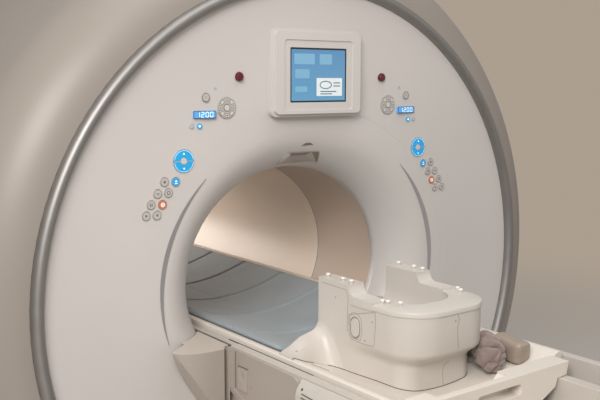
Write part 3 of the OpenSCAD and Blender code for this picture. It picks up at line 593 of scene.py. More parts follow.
dish_skin()
smooth_copy("bore_funnel", "flare_skin", "gantry", flush=FACE_Y)
smooth_copy("rear_funnel", "rear_flare_skin", "gantry")
smooth_copy("trim_ring", "ring_skin", "gantry", 40)
smooth_copy("head_coil", "coil_shell", "tabletop", 28)
for n in ("front_shoulder", "rear_cover", "front_liner", "main_liner"):
    smooth_copy(n, n + "_skin", "gantry", 24)
for n, w in (("display_housing", 0.0022), ("docking_apron", 0.0025), ("side_panels", 0.002),
             ("side_rail_covers", 0.0022), ("table_frame", 0.002), ("column_upper", 0.004),
             ("column_lower", 0.005), ("table_foot", 0.006), ("base_skirts", 0.004)):
    bevel_copy(n, n + "_eased", "gantry", w)
bevel_copy("tabletop", "tabletop_eased", "tabletop", 0.0022, 28)


def apron_painted_light():
    """Painted light: the apron's ledge and flanks are paler than its front, by the way each face turns to the
    light.
    """
    apron = bpy.data.objects["docking_apron_eased"].data
    apron.materials.append(FINISH["apron_ledge_painted_light"])
    apron.materials.append(FINISH["apron_flank_painted_light"])
    # Painted light by face: the upward faces of the ledge and the flanks get the paler copies.
    for f in apron.polygons:
        if f.normal.z > 0.5:
            f.material_index = 1
        elif f.normal.y > -0.93 and f.normal.z < -0.05:
            f.material_index = 2


apron_painted_light()


def rounded_case():
    """The connector's housing: its block with moulded, well rounded corners."""
    def edit(o):
        remesh(o, 0.003)
        m = o.modifiers.new("round", "SMOOTH")
        m.factor = 0.5
        m.iterations = 44

    mesh = baked(welded("connector_block"), edit)
    mesh.shade_smooth()
    stand_in("connector_case", mesh, "tabletop", "connector_block")


rounded_case()
for side in ("left", "right"):
    bevel_copy(f"coil_latch_{side}", f"latch_{side}_eased", f"coil_latch_{side}", 0.0018, 40)

# marks on the panel

SIDES = {"left": -1, "right": 1}
AHEAD = (0, 1, 0)
DOWN = (0, 0, -1)
# Controls on the right half of the face, in millimetres from the bore's axis; the left half mirrors them
STOP_KEY = (264, 599)
DRIVE_KEYS = (437, 374)
DIRECTION_PAD = (300, 514)
PAD_KEY = (371, 543)
READOUT = (374, 497)
SMALL_KEY = (413, 467)
SMALL_LAMP = (388, 466)
TOP_LAMP = (341, 568)
# Outer and inner radii, in metres
KEY_RIM = (0.0117, 0.0103)
KEY_COLLAR = (0.0141, 0.0128)
DRIVE_COLLAR = (0.0335, 0.0309)
PAD_COLLAR = (0.0322, 0.0301)
STOP_COLLAR_MM = 13.7
face_tree = tree("front_cover")


def before(x, z):
    return at(x, -400, z)


def control(place, s):
    """The x and z of a control on one side of the face, in metres."""
    x, z = place
    return x * s / 1000, ISO + z / 1000


def front_of(surface, place, s, aside=0):
    """How far forward a surface stands at a control."""
    x, z = place
    return land(surface, before(x * s + aside, z), AHEAD)[0].y


def centre(node):
    lo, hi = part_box(node)
    return (lo[0] + hi[0]) / 2, lo[1], (lo[2] + hi[2]) / 2


def bar(x, z, w, h):
    return rounded(x, z, w, h, min(w, h) * 0.35, 3)


def arrow(x, z, size, turn):
    c, s = cos(radians(turn)), sin(radians(turn))
    points = [(0, 0.62), (-0.6, -0.38), (0.6, -0.38)]
    return corners_of([(x + size * (u * c - v * s), z + size * (u * s + v * c)) for u, v in points])


def sector(x, z, r0, r1, middle, half):
    spread = [radians(middle - half + 2 * half * i / 8) for i in range(9)]
    edge = [(r0, t) for t in spread] + [(r1, t) for t in reversed(spread)]
    return corners_of([on_oval(x, z, r, r, t) for r, t in edge])


# Signs of the round keys by the key's number, in units of SIGN: arrows as height, size and turn, bars as
# x, z, width and height, rings as outer and inner radius
SIGN = 0.0014
SIGN_ARROWS = {0: (1.4, 4.2, 0), 6: (0, 4.6, 90), 7: (0, 4.6, -90)}
SIGN_BARS = {0: ((0, -3, 6, 1.3),), 1: ((0, 0, 7, 1.5), (0, 0, 1.5, 7)), 3: ((0, 0, 7, 1.5),),
             5: ((-1.7, 0, 1.5, 6.4), (1.7, 0, 1.5, 6.4))}
SIGN_RINGS = {2: (3.8, 2.6), 4: (4.2, 3.1)}


def key_sign(form, key, x, z, y):
    if key in SIGN_ARROWS:
        up, size, turn = SIGN_ARROWS[key]
        form.mark(arrow(x, z + up * SIGN, size * SIGN, turn), y)
    for u, v, w, h in SIGN_BARS.get(key, ()):
        form.mark(bar(x + u * SIGN, z + v * SIGN, w * SIGN, h * SIGN), y)
    if key in SIGN_RINGS:
        form.washer(x, z, [r * SIGN for r in SIGN_RINGS[key]], y - RISE, y + SUNK, n=28)
    if key == 4:
        form.mark(circle(x, z, 1.4 * SIGN, 20), y)


# The strokes of a seven-stroke digit: x, z and whether it lies flat
STROKES = {"a": (0, 1, 1), "b": (1, 0.5, 0), "c": (1, -0.5, 0), "d": (0, -1, 1), "e": (-1, -0.5, 0),
           "f": (-1, 0.5, 0), "g": (0, 0, 1)}
DIGITS = {"0": "abcdef", "1": "bc", "2": "abged"}


def digits(form, text, x, z, y):
    w, h, thick, pitch = 0.0042, 0.0064, 0.0019, 0.0140
    for i, c in enumerate(text):
        cx = x + (i - (len(text) - 1) / 2) * pitch
        for name in DIGITS[c]:
            u, v, flat = STROKES[name]
            size = (2 * w - 0.6 * thick, thick) if flat else (thick, h - 0.5 * thick)
            form.mark(bar(cx + u * w, z + v * h, *size), y)


def round_key_marks(side):
    for i in range(8):
        node = f"round_key_{i + 1}_{side}"
        x, y, z = centre(node)
        rim = Form()
        rim.washer(x, z, KEY_RIM, y - RISE, y + SUNK)
        rim.done(node + "_rim", "key_rim", node)
        sign = Form()
        key_sign(sign, i, x, z, y)
        sign.done(node + "_sign", "lit_mark" if i in (0, 4) else "key_legend", node)


def drive_key_marks(side):
    """An arrow and a thin rim line on each half of the round drive control."""
    mid = ISO + DRIVE_KEYS[1] / 1000
    spread = [radians(7 + 166 * i / 30) for i in range(31)]
    for part in ("in", "out"):
        node = f"{part}_key_{side}"
        x, y, z = centre(node)
        up = 1 if z > mid else -1
        sign = Form()
        sign.mark(arrow(x, mid + up * 0.0200, 0.0055, 0 if up > 0 else 180), y)
        outer, inner = ([on_oval(x, mid, r, up * r, t) for t in spread] for r in (0.0291, 0.0283))
        sign.mark(corners_of(outer + inner[::-1]), y)
        sign.done(node + "_sign", "lit_mark", node)


def stop_cap(side):
    x, y, z = centre(f"stop_key_{side}")
    cap = Form()
    cap.stand(circle(x, z, 0.0098), y - 0.0012, y + SUNK, 0.0009)
    cap.done(f"stop_cap_{side}", "key_red", f"stop_key_{side}")


def collars(side):
    """The rings in the face that the keys and pads sit in."""
    s = SIDES[side]
    form = Form()
    x, z = STOP_KEY
    ring = [on_oval(x * s, z, STOP_COLLAR_MM, STOP_COLLAR_MM, t) for t in turns(48)]
    form.strip([land(face_tree, before(*p), AHEAD) for p in ring], 0.0018, 0.0012, 0.001, closed=True)
    for i in range(8):
        x, _, z = centre(f"round_key_{i + 1}_{side}")
        form.washer(x, z, KEY_COLLAR, FACE_Y - 0.0006, FACE_Y + 0.001, 0.0003)
    for place, radii in ((DRIVE_KEYS, DRIVE_COLLAR), (DIRECTION_PAD, PAD_COLLAR)):
        form.washer(*control(place, s), radii, FACE_Y - 0.0008, FACE_Y + 0.001, 0.0004, 64)
    form.done(f"key_collars_{side}", "key_collar")


def pad_marks():
    surface = tree("direction_pads")
    light, dark, cream = Form(), Form(), Form()
    for s in (-1, 1):
        x, z = control(DIRECTION_PAD, s)
        y = front_of(surface, DIRECTION_PAD, s, 6)
        for k in range(4):
            a = radians(90 * k)
            dark.stand(arrow(x - 0.0215 * sin(a), z + 0.0215 * cos(a), 0.0048, 90 * k),
                       y - 3 * RISE, y + SUNK)
        for k in range(8):
            dark.mark(sector(x, z, 0.0155, 0.0272, 45 * k, 17), y)
            light.stand(sector(x, z, 0.0167, 0.0260, 45 * k, 14), y - 2 * RISE, y + SUNK)
        dark.mark(circle(x, z, 0.0100), y)
        light.stand(circle(x, z, 0.0086), y - 0.0010, y + SUNK, 0.0005)
        x, z = control(PAD_KEY, s)
        y = front_of(surface, PAD_KEY, s)
        dark.washer(x, z, KEY_RIM, y - RISE, y + SUNK)
        dark.mark(bar(x, z, 0.0015, 0.007), y)
        x, z = control(DRIVE_KEYS, s)
        cream.stand(circle(x, z, 0.0094), FACE_Y - 0.0032, FACE_Y + 0.002, 0.0008)
        cream.stand(bar(x, z, 0.0590, 0.0024), FACE_Y - 0.0016, FACE_Y + 0.002)
    light.done("direction_caps", "key_pale")
    dark.done("direction_signs", "key_legend")
    cream.done("drive_caps", "key_pale")


def lamp_caps():
    surface = tree("small_lamps")
    caps, lit = Form(), Form()
    for s in (-1, 1):
        for form, place, r, rise, edge, n in ((caps, SMALL_KEY, 0.0069, 0.0008, 0.0005, 32),
                                              (caps, TOP_LAMP, 0.0028, 0.0004, 0.0002, 24),
                                              (lit, SMALL_LAMP, 0.0034, 0.0005, 0.0002, 24)):
            y = front_of(surface, place, s)
            form.stand(circle(*control(place, s), r, n), y - rise, y + SUNK, edge)
    caps.done("small_key_caps", "key_grey")
    lit.done("small_key_lights", "lit_mark")


def readout_marks():
    surface = tree("readouts")
    numbers, frames = Form(), Form()
    for s in (-1, 1):
        x, z = control(READOUT, s)
        y = front_of(surface, READOUT, s)
        digits(numbers, "1200", x, z, y)
        frames.hoop(rounded(x, z, 0.0700, 0.0200, 0.002), rounded(x, z, 0.0672, 0.0172, 0.001), y - 0.0004,
                    y + SUNK, 0.0002)
    numbers.done("readout_digits", "lit_mark")
    frames.done("readout_frames", "screen_bezel")


for side in SIDES:
    round_key_marks(side)
    drive_key_marks(side)
    stop_cap(side)
    collars(side)
pad_marks()
lamp_caps()
readout_marks()

# display

DISPLAY_Z = ISO + 0.604
# Tiles and lines as x, z from the display's middle, width and height
TILES = ((-0.052, 0.046, 0.074, 0.030), (0.026, 0.046, 0.046, 0.030), (-0.060, 0.004, 0.052, 0.026),
         (-0.064, -0.040, 0.044, 0.016))
LINES = ((0.068, -0.022, 0.026, 0.003), (0.068, -0.031, 0.026, 0.003), (0.036, -0.047, 0.060, 0.003),
         (0.028, -0.054, 0.044, 0.003))


def display():
    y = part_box("display_screen")[0][1]
    z = DISPLAY_Z
    border, soft, field, ink = Form(), Form(), Form(), Form()
    border.hoop(rounded(0, z, 0.2070, 0.1550, 0.0025), rounded(0, z, 0.1985, 0.1465, 0.0015), y - 0.0004,
                y + 0.001, 0.0002)
    for x, dz, w, h in TILES:
        soft.mark(rounded(x, z + dz, w, h, 0.004), y)
    field.mark(rounded(0.040, z - 0.034, 0.096, 0.052, 0.0015), y)
    top = y - RISE
    oval = [corners_of([on_oval(0.026, z - 0.028, a, b, t) for t in turns(40)])
            for a, b in ((0.0230, 0.0120), (0.0198, 0.0092))]
    ink.hoop(*oval, top - RISE, top + SUNK)
    for x, dz, w, h in LINES:
        ink.mark(bar(x, z + dz, w, h), top)
    border.done("screen_border", "screen_bezel")
    soft.done("screen_tiles", "screen_soft")
    field.done("screen_field", "screen_white")
    ink.done("screen_marks", "screen_ink")


display()

# light window in the flare

# Each facet's corners as x and z in millimetres from the bore's axis
MAIN_PANE = ((-44, 366), (13, 365), (56, 342.5), (-65, 338))
LIGHT_FACET = ((13, 365), (31, 374), (74, 340), (56, 343))
SIDE_FACET = ((31, 374), (63, 374), (82, 336), (74, 340))
TOP_FACET = ((-50, 374), (31, 374), (13, 365), (-44, 366))
NOTCH = ((-17, 395), (29, 397), (14, 404), (-3, 404))


def window_facets():
    surface = tree("light_window", "bore_funnel")
    for name, finish, patches, rise, cells in (
            ("window_pane", "window_pane", (MAIN_PANE,), 0.0008, 10),
            # Painted light on the light facet, and painted shade on the side, top and notch facets
            ("window_light_facet", "window_facet", (LIGHT_FACET,), 0.0008, 10),
            ("window_dark_facet", "window_shade", (SIDE_FACET, TOP_FACET), 0.0008, 10),
            ("window_notch", "window_shade", (NOTCH,), 0.0006, 6)):
        form = Form()
        for corners in patches:
            form.panel(surface, corners, before, AHEAD, cells, rise)
        form.done(name, finish)


window_facets()

# bore seam

# Half the bore's width and height, in millimetres
BORE_A = 370
BORE_B = 325


def bore_seam():
    """The pale bead and the dark line where the front liner meets the main one."""
    for name, finish, y, width, rise in (("bore_seam_bead", "seam_bead", -338, 0.0075, 0.0008),
                                         ("bore_seam_line", "coil_seam", -343.5, 0.0035, 0.0004)):
        spots = []
        for t in turns(180, 0.5):
            spot = Vector((BORE_A * cos(t) / 1000, y / 1000, ISO + BORE_B * sin(t) / 1000))
            spots.append((spot, -Vector((cos(t) / BORE_A, 0, sin(t) / BORE_B)).normalized()))
        form = Form()
        form.strip(spots, width, rise, 0.0006, closed=True)
        form.done(name, finish)


bore_seam()

# head coil

coil_tree = tree("head_coil")
# Lines, screws and pegs of the coil: y and z on its side, x and z on its front, x and y on its rim
TALL_WALL = [(-195, 48), (-252, 47), (-301, 46), (-308, 21), (-305, -21), (-305, -63)]
LATCH_PLATE = [(-310, -18), (-414, 10), (-414, -36), (-410, -81), (-362, -83), (-320, -81)]
SIDE_SCREWS = ((-256, 18), (-375, -73), (-402, -18), (-318, -30))
LATCH = (-337, -47)
LATCH_FOOT = -79
FRONT_SEAMS = ([(0, 16), (8, -3), (2, -22), (5, -58), (7, -78)],
               [(27, -128), (8, -136), (5, -155), (8, -186)])
WALL_PEGS = [(131 * s, y) for s in (-1, 1) for y in (-201, -264, -298)]
RIM_PEGS = [(-117, -404), (-110.5, -417), (-95.5, -447), (142, -421), (131, -442)]


def squarish(t):
    """A cosine or sine made fuller, for an oval with flatter sides."""
    return math.copysign(abs(t) ** 0.8, t)


def coil_details():
    lines, heads, caps = Form(), Form(), Form()
    for s in (-1, 1):
        way = (-s, 0, 0)

        def start(y, z):
            return at(s * 300, y, z)

        lines.strip(trace(coil_tree, TALL_WALL, start, way), 0.0013)
        lines.strip(trace(coil_tree, LATCH_PLATE, start, way, closed=True), 0.0013, closed=True)
        for spot in SIDE_SCREWS:
            heads.dome(*land(coil_tree, start(*spot), way), 0.0024, 0.0006, 0.0011)
        y, z = LATCH
        gap, frame_line = ([(y + 18.5 * r * squarish(cos(t)), z + 27.5 * r * squarish(sin(t)))
                            for t in turns(40)] for r in (1.0, 1.42))
        lines.strip([land(coil_tree, start(*p), way) for p in gap], 0.0026, closed=True)
        lines.strip([land(coil_tree, start(*p), way) for p in frame_line if p[1] > LATCH_FOOT], 0.0012)
        heads.dome(*land(coil_tree, at(s * 266, -238, 60), DOWN), 0.0030, 0.0006, 0.0014)

    def facing(x, z):
        return at(x, -700, z)

    for path in FRONT_SEAMS:
        lines.strip(trace(coil_tree, path, facing, AHEAD, 5), 0.0014)
    heads.dome(*land(coil_tree, facing(-5, -5), AHEAD), 0.0026, 0.0006, 0.0012)
    for x, y in WALL_PEGS + RIM_PEGS:
        spot, normal = land(coil_tree, at(x, y, 200), DOWN)
        caps.dome(spot - normal * 0.001, normal, 0.0060, 0.0032)
    lines.done("coil_seams", "coil_seam", "tabletop")
    heads.done("coil_screws", "screw_cap", "tabletop")
    caps.done("coil_peg_caps", "peg_plastic", "tabletop")


coil_details()

# The joint of coil and tabletop, where the painted contact shade runs, lies under FOOT_Z, lower by FOOT_DROP
# past FOOT_START, and ends at WING_END
FOOT_Z = ISO - 0.1175
FOOT_DROP = 0.007
WING_END = RING_Y - 0.25
FOOT_START = RING_Y - 0.45
JOINT = ((260, -294), (254, -303), (248, -314), (242, -325), (239, -340))


def coil_foot():
    """Painted contact shade: a dark line where the coil's walls meet the tabletop."""
    bm = bmesh.new()
    bm.from_mesh(welded("head_coil"))
    line = Form()
    for e in bm.edges:
        if len(e.link_faces) < 2 or e.calc_length() < 1e-4:
            continue
        under = min((f.normal for f in e.link_faces), key=lambda n: n.z)
        wall = max((f.normal for f in e.link_faces), key=lambda n: n.z)
        out = Vector((wall.x, wall.y, 0))
        if under.z > -0.6 or wall.z < -0.6 or out.length < 0.04:
            continue
        middle = (e.verts[0].co + e.verts[1].co) / 2
        top = FOOT_Z if middle.y > FOOT_START else FOOT_Z - FOOT_DROP
        if middle.z > top or middle.y > WING_END:
            continue
        out.normalize()
        wide, high = out * 0.0016, Vector((0, 0, 1)) * 0.0011
        corners = [v.co - out * 0.0006 for v in e.verts]
        line.skin([[p, p + wide, p + wide + high, p + high] for p in corners])
    bm.free()
    joint = tree("head_coil", "tabletop")
    for s in (-1, 1):
        path = [(s * x, y) for x, y in JOINT]
        line.strip(trace(joint, path, lambda x, y: at(x, y, 60), DOWN, 5), 0.0024, 0.0006)
    line.done("coil_foot_painted_shade", "dark_gap_and_contact_shade", "tabletop")


coil_foot()

# table details

# Details of the table's left side as y and z, in millimetres from the ring's plane and the bore's axis
RAIL_LINE = [(-520, -196), (-1200, -196), (-2400, -196)]
RAIL_STUD = (-389, -153)
CONSOLE_LIGHT = ((-420, -137), (-446, -137), (-446, -148), (-420, -148))
CONSOLE_SLOTS = [[(-392, z), (-452, z - 3)] for z in (-162, -171)]
PLATE = ((-97, -179), (-137, -179), (-137, -237), (-97, -237))
PLATE_SCREWS = ((-110, -219), (-150, -219))
PLATE_EDGE = [(-92.5, -240), (-92.5, -174), (-140, -174)]
POST = ((-45, -136), (-72, -136), (-72, -240), (-45, -243))
POST_EDGE = [(-78.5, -138), (-78.5, -242)]
LOW_BACKING = ((-3, -224), (-150, -224), (-150, -330), (-3, -330))
APRON_FILLER = ((-39, -137), (-59, -137), (-59, -330), (-39, -330))
EDGE_SEAL = (12, -60, -120, -240, -369)


def table_details():
    rail, panel, top = tree("side_rail_covers"), tree("side_panels"), tree("tabletop")
    lines, slots, heads, dots, seal, plates, ovals, grooves = (Form() for _ in range(8))
    for s in (-1, 1):
        way = (-s, 0, 0)

        def start(y, z):
            return at(s * 500, y, z)

        lines.strip(trace(rail, RAIL_LINE, start, way, 60), 0.0016)
        for place in PLATE_SCREWS:
            heads.dome(*land(panel, start(*place), way), 0.0042, 0.0009, 0.002)
        dots.dome(*land(rail, start(*RAIL_STUD), way), 0.0038, 0.0008, 0.0018)
        ovals.panel(rail, CONSOLE_LIGHT, start, way, 6)
        for path in CONSOLE_SLOTS:
            grooves.strip(trace(rail, path, start, way, 6), 0.0036)
        for path, width in ((PLATE_EDGE, 0.0030), (POST_EDGE, 0.0040)):
            grooves.strip(trace(panel, path, start, way, 8), width)
        for corners in (PLATE, POST):
            plates.panel(panel, corners, start, way, 4)
        for corners, outer, inner in ((LOW_BACKING, 343.3, 342.2), (APRON_FILLER, 361.8, 359.0)):
            plates.skin([[at(s * x, y, z) for y, z in corners] for x in (outer, inner)])
        slots.strip(trace(top, [(s * 297, -469), (s * 262, -487)], lambda x, y: at(x, y, 0), DOWN, 6), 0.0014)
        seal.strip([(at(s * 315, y, -133), Vector((0, 0, 1))) for y in EDGE_SEAL], 0.0052)
    seal.done("edge_seals", "dark_gap_and_contact_shade")
    plates.done("side_plates", "plate_paint")
    ovals.done("console_lights", "key_grey")
    grooves.done("side_grooves", "groove_shade")
    slots.done("tabletop_slots", "coil_seam", "tabletop")
    lines.done("table_lines", "coil_seam")
    heads.done("panel_screws", "screw_cap")
    dots.done("rail_studs", "key_legend")


table_details()

# soft parts


def points(mesh, what="co"):
    flat = np.empty(len(mesh.vertices) * 3)
    mesh.vertices.foreach_get(what, flat)
    return flat.reshape(-1, 3)


def pressed(mesh, pressure, cap, frames, held=()):
    """Cloth under air pressure, with no point moved further than cap; held points stay."""
    rest = points(mesh)
    o = new_object("cloth", mesh)
    m = o.modifiers.new("cloth", "CLOTH")
    m.settings.effector_weights.gravity = 0.0
    m.settings.use_pressure = True
    m.settings.uniform_pressure_force = pressure
    m.settings.tension_stiffness = 12.0
    m.settings.quality = 5
    m.point_cache.frame_start = 1
    m.point_cache.frame_end = frames
    m.collision_settings.use_collision = False
    if held:
        o.vertex_groups.new(name="held").add(held, 1.0, "REPLACE")
        m.settings.vertex_group_mass = "held"
    scene = bpy.context.scene
    for f in range(1, frames + 1):
        scene.frame_set(f)
    result = bpy.data.meshes.new_from_object(o.evaluated_get(bpy.context.evaluated_depsgraph_get()))
    bpy.data.objects.remove(o)
    scene.frame_set(1)
    move = points(result) - rest
    far = np.linalg.norm(move, axis=1, keepdims=True)
    move *= np.minimum(1.0, cap / np.maximum(far, 1e-9))
    result.vertices.foreach_set("co", (rest + move).ravel())
    result.update()
    return result


def subdivided(mesh):
    def edit(o):
        m = o.modifiers.new("sub", "SUBSURF")
        m.levels = 1
        m.render_levels = 1

    return baked(mesh, edit)


BED_HALF = 0.292
BED_DEPTH = 0.070
PAD_HALF = 0.2825
PAD_THICK = 0.0195
PAD_FIELDS = 7
pad_low, pad_high = (Vector(v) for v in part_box("table_pad"))
PAD_END = pad_low.y + 0.002
PAD_HEAD = pad_high.y - 0.002
CHANNELS = [PAD_END + (PAD_HEAD - PAD_END) * k / PAD_FIELDS for k in range(1, PAD_FIELDS)]


def bed_z(x):
    """Height of the trough in the tabletop, with the clearance that the pad keeps."""
    return pad_low.z + BED_DEPTH * (x / BED_HALF) ** 2


def quarter_round(distance, reach, low):
    """From low at an edge to one at reach from it, along a quarter of a circle."""
    t = min(distance, reach) / reach
    return low + (1 - low) * math.sqrt(max(0.0, 1 - (1 - t) ** 2))


def pad_body():
    """The pad before it swells, and the numbers of the points with which it lies on the tabletop."""
    across, along = 44, 150
    form = Form()
    rows = []
    for j in range(along + 1):
        y = PAD_END + (PAD_HEAD - PAD_END) * j / along
        thick = PAD_THICK * quarter_round(min(y - PAD_END, PAD_HEAD - y), 0.014, 0.35)
        low, top = [], []
        for i in range(across + 1):
            x = PAD_HALF * (2 * i / across - 1)
            rise = thick * quarter_round(PAD_HALF - abs(x), 0.016, 0.40)
            low.append(form.bm.verts.new((x, y, bed_z(x))))
            top.append(form.bm.verts.new((x, y, bed_z(x) + rise)))
        rows.append(low + top[::-1])
    n = len(rows[0])
    for a, b in zip(rows, rows[1:]):
        for i in range(n):
            k = (i + 1) % n
            form.bm.faces.new((a[i], a[k], b[k], b[i]))
    for r in (rows[0], rows[-1]):
        for i in range(across):
            form.bm.faces.new((r[i], r[i + 1], r[n - 2 - i], r[n - 1 - i]))
    return form.mesh("pad"), [j * n + i for j in range(along + 1) for i in range(across + 1)]


def pad_cushion():
    """The swollen pad, drawn in along its cross channels, with small puckers beside them."""
    body, held = pad_body()
    mesh = subdivided(pressed(body, 4.0, 0.004, 20, held))
    for v in mesh.vertices:
        x, y, z = v.co
        base = bed_z(x)
        if z > base + 0.004:
            dip = sum(math.exp(-((y - c) / 0.0048) ** 2) for c in CHANNELS)
            pucker = 0.0006 * sin(x * 210) * sum(math.exp(-((y - c) / 0.016) ** 2) for c in CHANNELS)
            z = base + (z - base) * (1 - 0.42 * dip) + pucker
        v.co.z = max(z, base)
    mesh.update()
    smooth(mesh, 60)
    o = stand_in("pad_cushion", mesh, "tabletop", "table_pad")
    return mesh


def pad_piping():
    """A thin tube round the pad's foot, with its corners cut short."""
    half, cut, r = PAD_HALF, 0.004, 0.0021
    y0, y1 = PAD_END, PAD_HEAD
    sides = (((half, y0 + cut), (half, y1 - cut)), ((half - cut, y1), (-half + cut, y1)),
             ((-half, y1 - cut), (-half, y0 + cut)), ((-half + cut, y0), (half - cut, y0)))
    spots = []
    for a, b in sides:
        count = max(2, round(math.dist(a, b) / 0.02))
        spots += [[p + (q - p) * i / count for p, q in zip(a, b)] for i in range(count + 1)]
    rings = []
    for i, (x, y) in enumerate(spots):
        last, following = spots[i - 1], spots[(i + 1) % len(spots)]
        run = Vector((following[0] - last[0], following[1] - last[1], 0)).normalized()
        out = Vector((run.y, -run.x, 0))
        mid = Vector((x, y, bed_z(x) + 0.0048))
        rings.append([mid + out * r * cos(t) + Vector((0, 0, r * sin(t))) for t in turns(8)])
    form = Form()
    form.skin(rings, ring=True)
    form.done("pad_piping", "pad_trim", "tabletop", angle=60)


def pad_stitches(mesh):
    surface = surface_of(mesh)
    half, run, count = Vector((0.0034, 0, 0)), 0.524, 46
    form = Form()
    for c in CHANNELS:
        for k in range(count):
            spot, normal = land(surface, (-run / 2 + run * k / (count - 1), c, pad_high.z + 0.1), DOWN)
            form.strip([(spot - half, normal), (spot + half, normal)], 0.0011, 0.0005, 0.0008)
    form.done("pad_stitches", "pad_trim", "tabletop")


pad_mesh = pad_cushion()
pad_piping()
pad_stitches(pad_mesh)

# Each row: x, distance from the ring plane, z and radius, fuller than the plain solid, because folds sink in
SLEEVE = [(134, 468, -148, 17), (152, 467, -140, 24), (168, 470, -128, 33), (168, 488, -118, 40),
          (158, 508, -115, 44), (149, 529, -117, 45), (141, 551, -125, 42), (136, 572, -139, 31)]


def sleeve_rows():
    """Many rows evened out between the few of SLEEVE."""
    keys = np.array(SLEEVE, float)
    at_key = np.linspace(0, len(keys) - 1, 72)
    rows = np.stack([np.interp(at_key, range(len(keys)), column) for column in keys.T], axis=1)
    for _ in range(6):
        rows[1:-1] = (rows[:-2] + 2 * rows[1:-1] + rows[2:]) / 4
    return rows


def closing(t, reach):
    """How far a tube is open at t from its end."""
    return math.sqrt(max(1e-4, 1 - max(0.0, 1 - t / reach) ** 2))


def sleeve_tube(rows):
    loops = []
    for j, (x, d, z, r) in enumerate(rows):
        u = j / (len(rows) - 1)
        q = 0.93 * r * max(min(1.0, closing(u, 0.07), closing(1 - u, 0.12)), 0.12)
        loops.append([at(x + q * cos(t), -d - 0.2 * q * cos(t), z - 1.1 * q * sin(t))
                      for t in turns(120)])
    form = Form()
    form.skin(loops)
    return form.mesh("sleeve")


def bunched(mesh, rows):
    """Where the sleeve's points go: long slanting folds, small creases, and a ribbed band at its start."""
    co = points(mesh)
    line = np.array([list(at(x, -d, z)) for x, d, z, _ in rows])
    nearest = ((co[:, None, :] - line[None, :, :]) ** 2).sum(2).argmin(1)
    u = nearest / (len(rows) - 1)
    off = co - line[nearest]
    theta = np.arctan2(off[:, 2], off[:, 0])
    warp = np.array([noise.noise(Vector(c * 26)) for c in co])
    folds = np.abs(np.sin(theta * 1.5 + u * 15 + warp * 2.6)) ** 0.45
    folds += 0.6 * np.abs(np.sin(theta * 2.5 - u * 17 + warp * 3.8)) ** 0.45 - 1.35
    creases = np.array([noise.noise(Vector((c[0] * 70, c[1] * 70, c[2] * 90 + 5))) for c in co])
    band = np.exp(-((u - 0.13) / 0.075) ** 4)
    ribs = np.sin(theta * 30) * 0.0010 * band
    lift = (folds * 0.0080 + creases * 0.0016) * (1 - 0.9 * band) - 0.0010 * band + ribs
    return co + points(mesh, "normal") * lift[:, None]


def keep_clear(co, *neighbours):
    """Lifts points off the tabletop's trough and out of the pieces beside them."""
    co[:, 2] = np.maximum(co[:, 2], np.array([bed_z(x) for x in co[:, 0]]) + 0.0004)
    for surface in neighbours:
        for i in range(len(co)):
            spot, normal = surface.find_nearest(Vector(co[i]), 0.02)[:2]
            if spot is not None and (Vector(co[i]) - spot).dot(normal) < 0.0004:
                co[i] = spot + normal * 0.0006


def sleeve():
    rows = sleeve_rows()
    mesh = baked(sleeve_tube(rows), lambda o: remesh(o, 0.004))
    mesh = subdivided(subdivided(pressed(mesh, 3.0, 0.0025, 16)))
    mesh.shade_smooth()
    co = bunched(mesh, rows)
    keep_clear(co, coil_tree, tree("connector_block"), tree("cable_boot"))
    mesh.vertices.foreach_set("co", co.ravel())
    mesh.update()
    smooth(mesh, 70)
    o = stand_in("sleeve_cloth", mesh, "tabletop", "cable_sleeve")


sleeve()

# room and light

BACKDROP = (0.41, 0.345, 0.28)
FLOOR = 40.0


def mixed(nt, share, first, second):
    """Two shaders mixed, with the second's share."""
    mix = add_node(nt, "MixShader")
    for i, source in enumerate((share, first, second)):
        nt.links.new(source, mix.inputs[i])
    return mix.outputs[0]


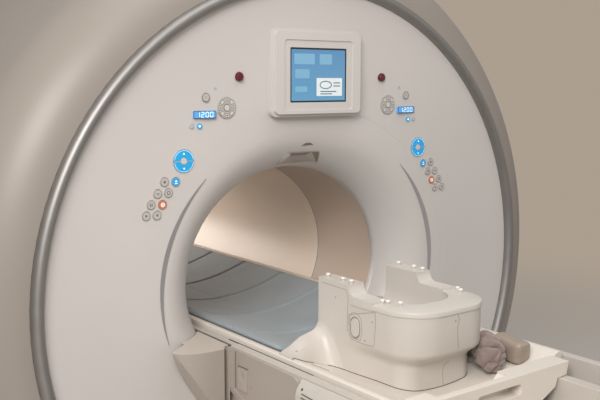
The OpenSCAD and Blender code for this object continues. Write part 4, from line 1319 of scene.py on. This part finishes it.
def room():
    """A plain floor that fades into the backdrop far out."""
    m = procedural("room_floor", (0.62, 0.58, 0.54), 0.8, 0.01, 1.0, 200, 0.01)
    nt = m.node_tree
    wire = nt.links.new
    far = add_node(nt, "VectorMath")
    far.operation = "LENGTH"
    wire(add_node(nt, "TexCoord").outputs["Object"], far.inputs[0])
    fade = add_node(nt, "MapRange", From_Min=2.2, From_Max=6.0)
    fade.interpolation_type = "SMOOTHSTEP"
    wire(far.outputs["Value"], fade.inputs["Value"])
    both = add_node(nt, "Math")
    both.operation = "MULTIPLY"
    wire(fade.outputs[0], both.inputs[0])
    wire(add_node(nt, "LightPath").outputs["Is Camera Ray"], both.inputs[1])
    glow = add_node(nt, "Emission", Color=(*BACKDROP, 1))
    paint = node_of(nt, "BSDF_PRINCIPLED")
    look = mixed(nt, both.outputs[0], paint.outputs[0], glow.outputs[0])
    wire(look, node_of(nt, "OUTPUT_MATERIAL").inputs[0])
    corners = [(x, y, 0.0) for x, y in ((-FLOOR, -FLOOR), (FLOOR, -FLOOR), (FLOOR, FLOOR), (-FLOOR, FLOOR))]
    mesh = bpy.data.meshes.new("floor")
    mesh.from_pydata(corners, [], [(0, 1, 2, 3)])
    mesh.materials.append(m)
    o = new_object("floor", mesh)


room()


def area(name, loc, target, size, power, color):
    d = bpy.data.lights.new(name, "AREA")
    d.shape = "RECTANGLE"
    d.size, d.size_y = size
    d.energy = power
    d.color = color
    o = new_object(name, d)
    o.location = loc
    o.rotation_euler = (Vector(target) - Vector(loc)).to_track_quat("-Z", "Y").to_euler()


def lights():
    world = bpy.data.worlds.new("world")
    bpy.context.scene.world = world
    world.use_nodes = True
    nt = world.node_tree
    soft = nt.nodes["Background"]
    soft.inputs[0].default_value = (1.0, 0.97, 0.93, 1)
    soft.inputs[1].default_value = 0.36
    seen = add_node(nt, "Background", Color=(*BACKDROP, 1))
    path = add_node(nt, "LightPath")
    look = mixed(nt, path.outputs["Is Camera Ray"], soft.outputs[0], seen.outputs[0])
    nt.links.new(look, nt.nodes["World Output"].inputs[0])
    area("key", (-2.9, -3.4, 3.4), (-0.1, -0.8, 1.15), (2.2, 1.6), 150, (1.0, 0.97, 0.94))
    area("fill", (3.2, -4.2, 2.6), (0, -0.9, 1.0), (3.0, 2.0), 12, (1.0, 0.97, 0.94))
    area("top", (0.0, -1.6, 4.6), (0, -1.2, 1.0), (3.0, 3.0), 50, (1.0, 0.98, 0.95))
    area("bore_light", (-0.35, 1.5, 1.3), (0.37, 0.1, 1.05), (0.8, 0.8), 16, (1.0, 0.93, 0.87))


lights()

bpy.context.scene.view_settings.view_transform = "Standard"
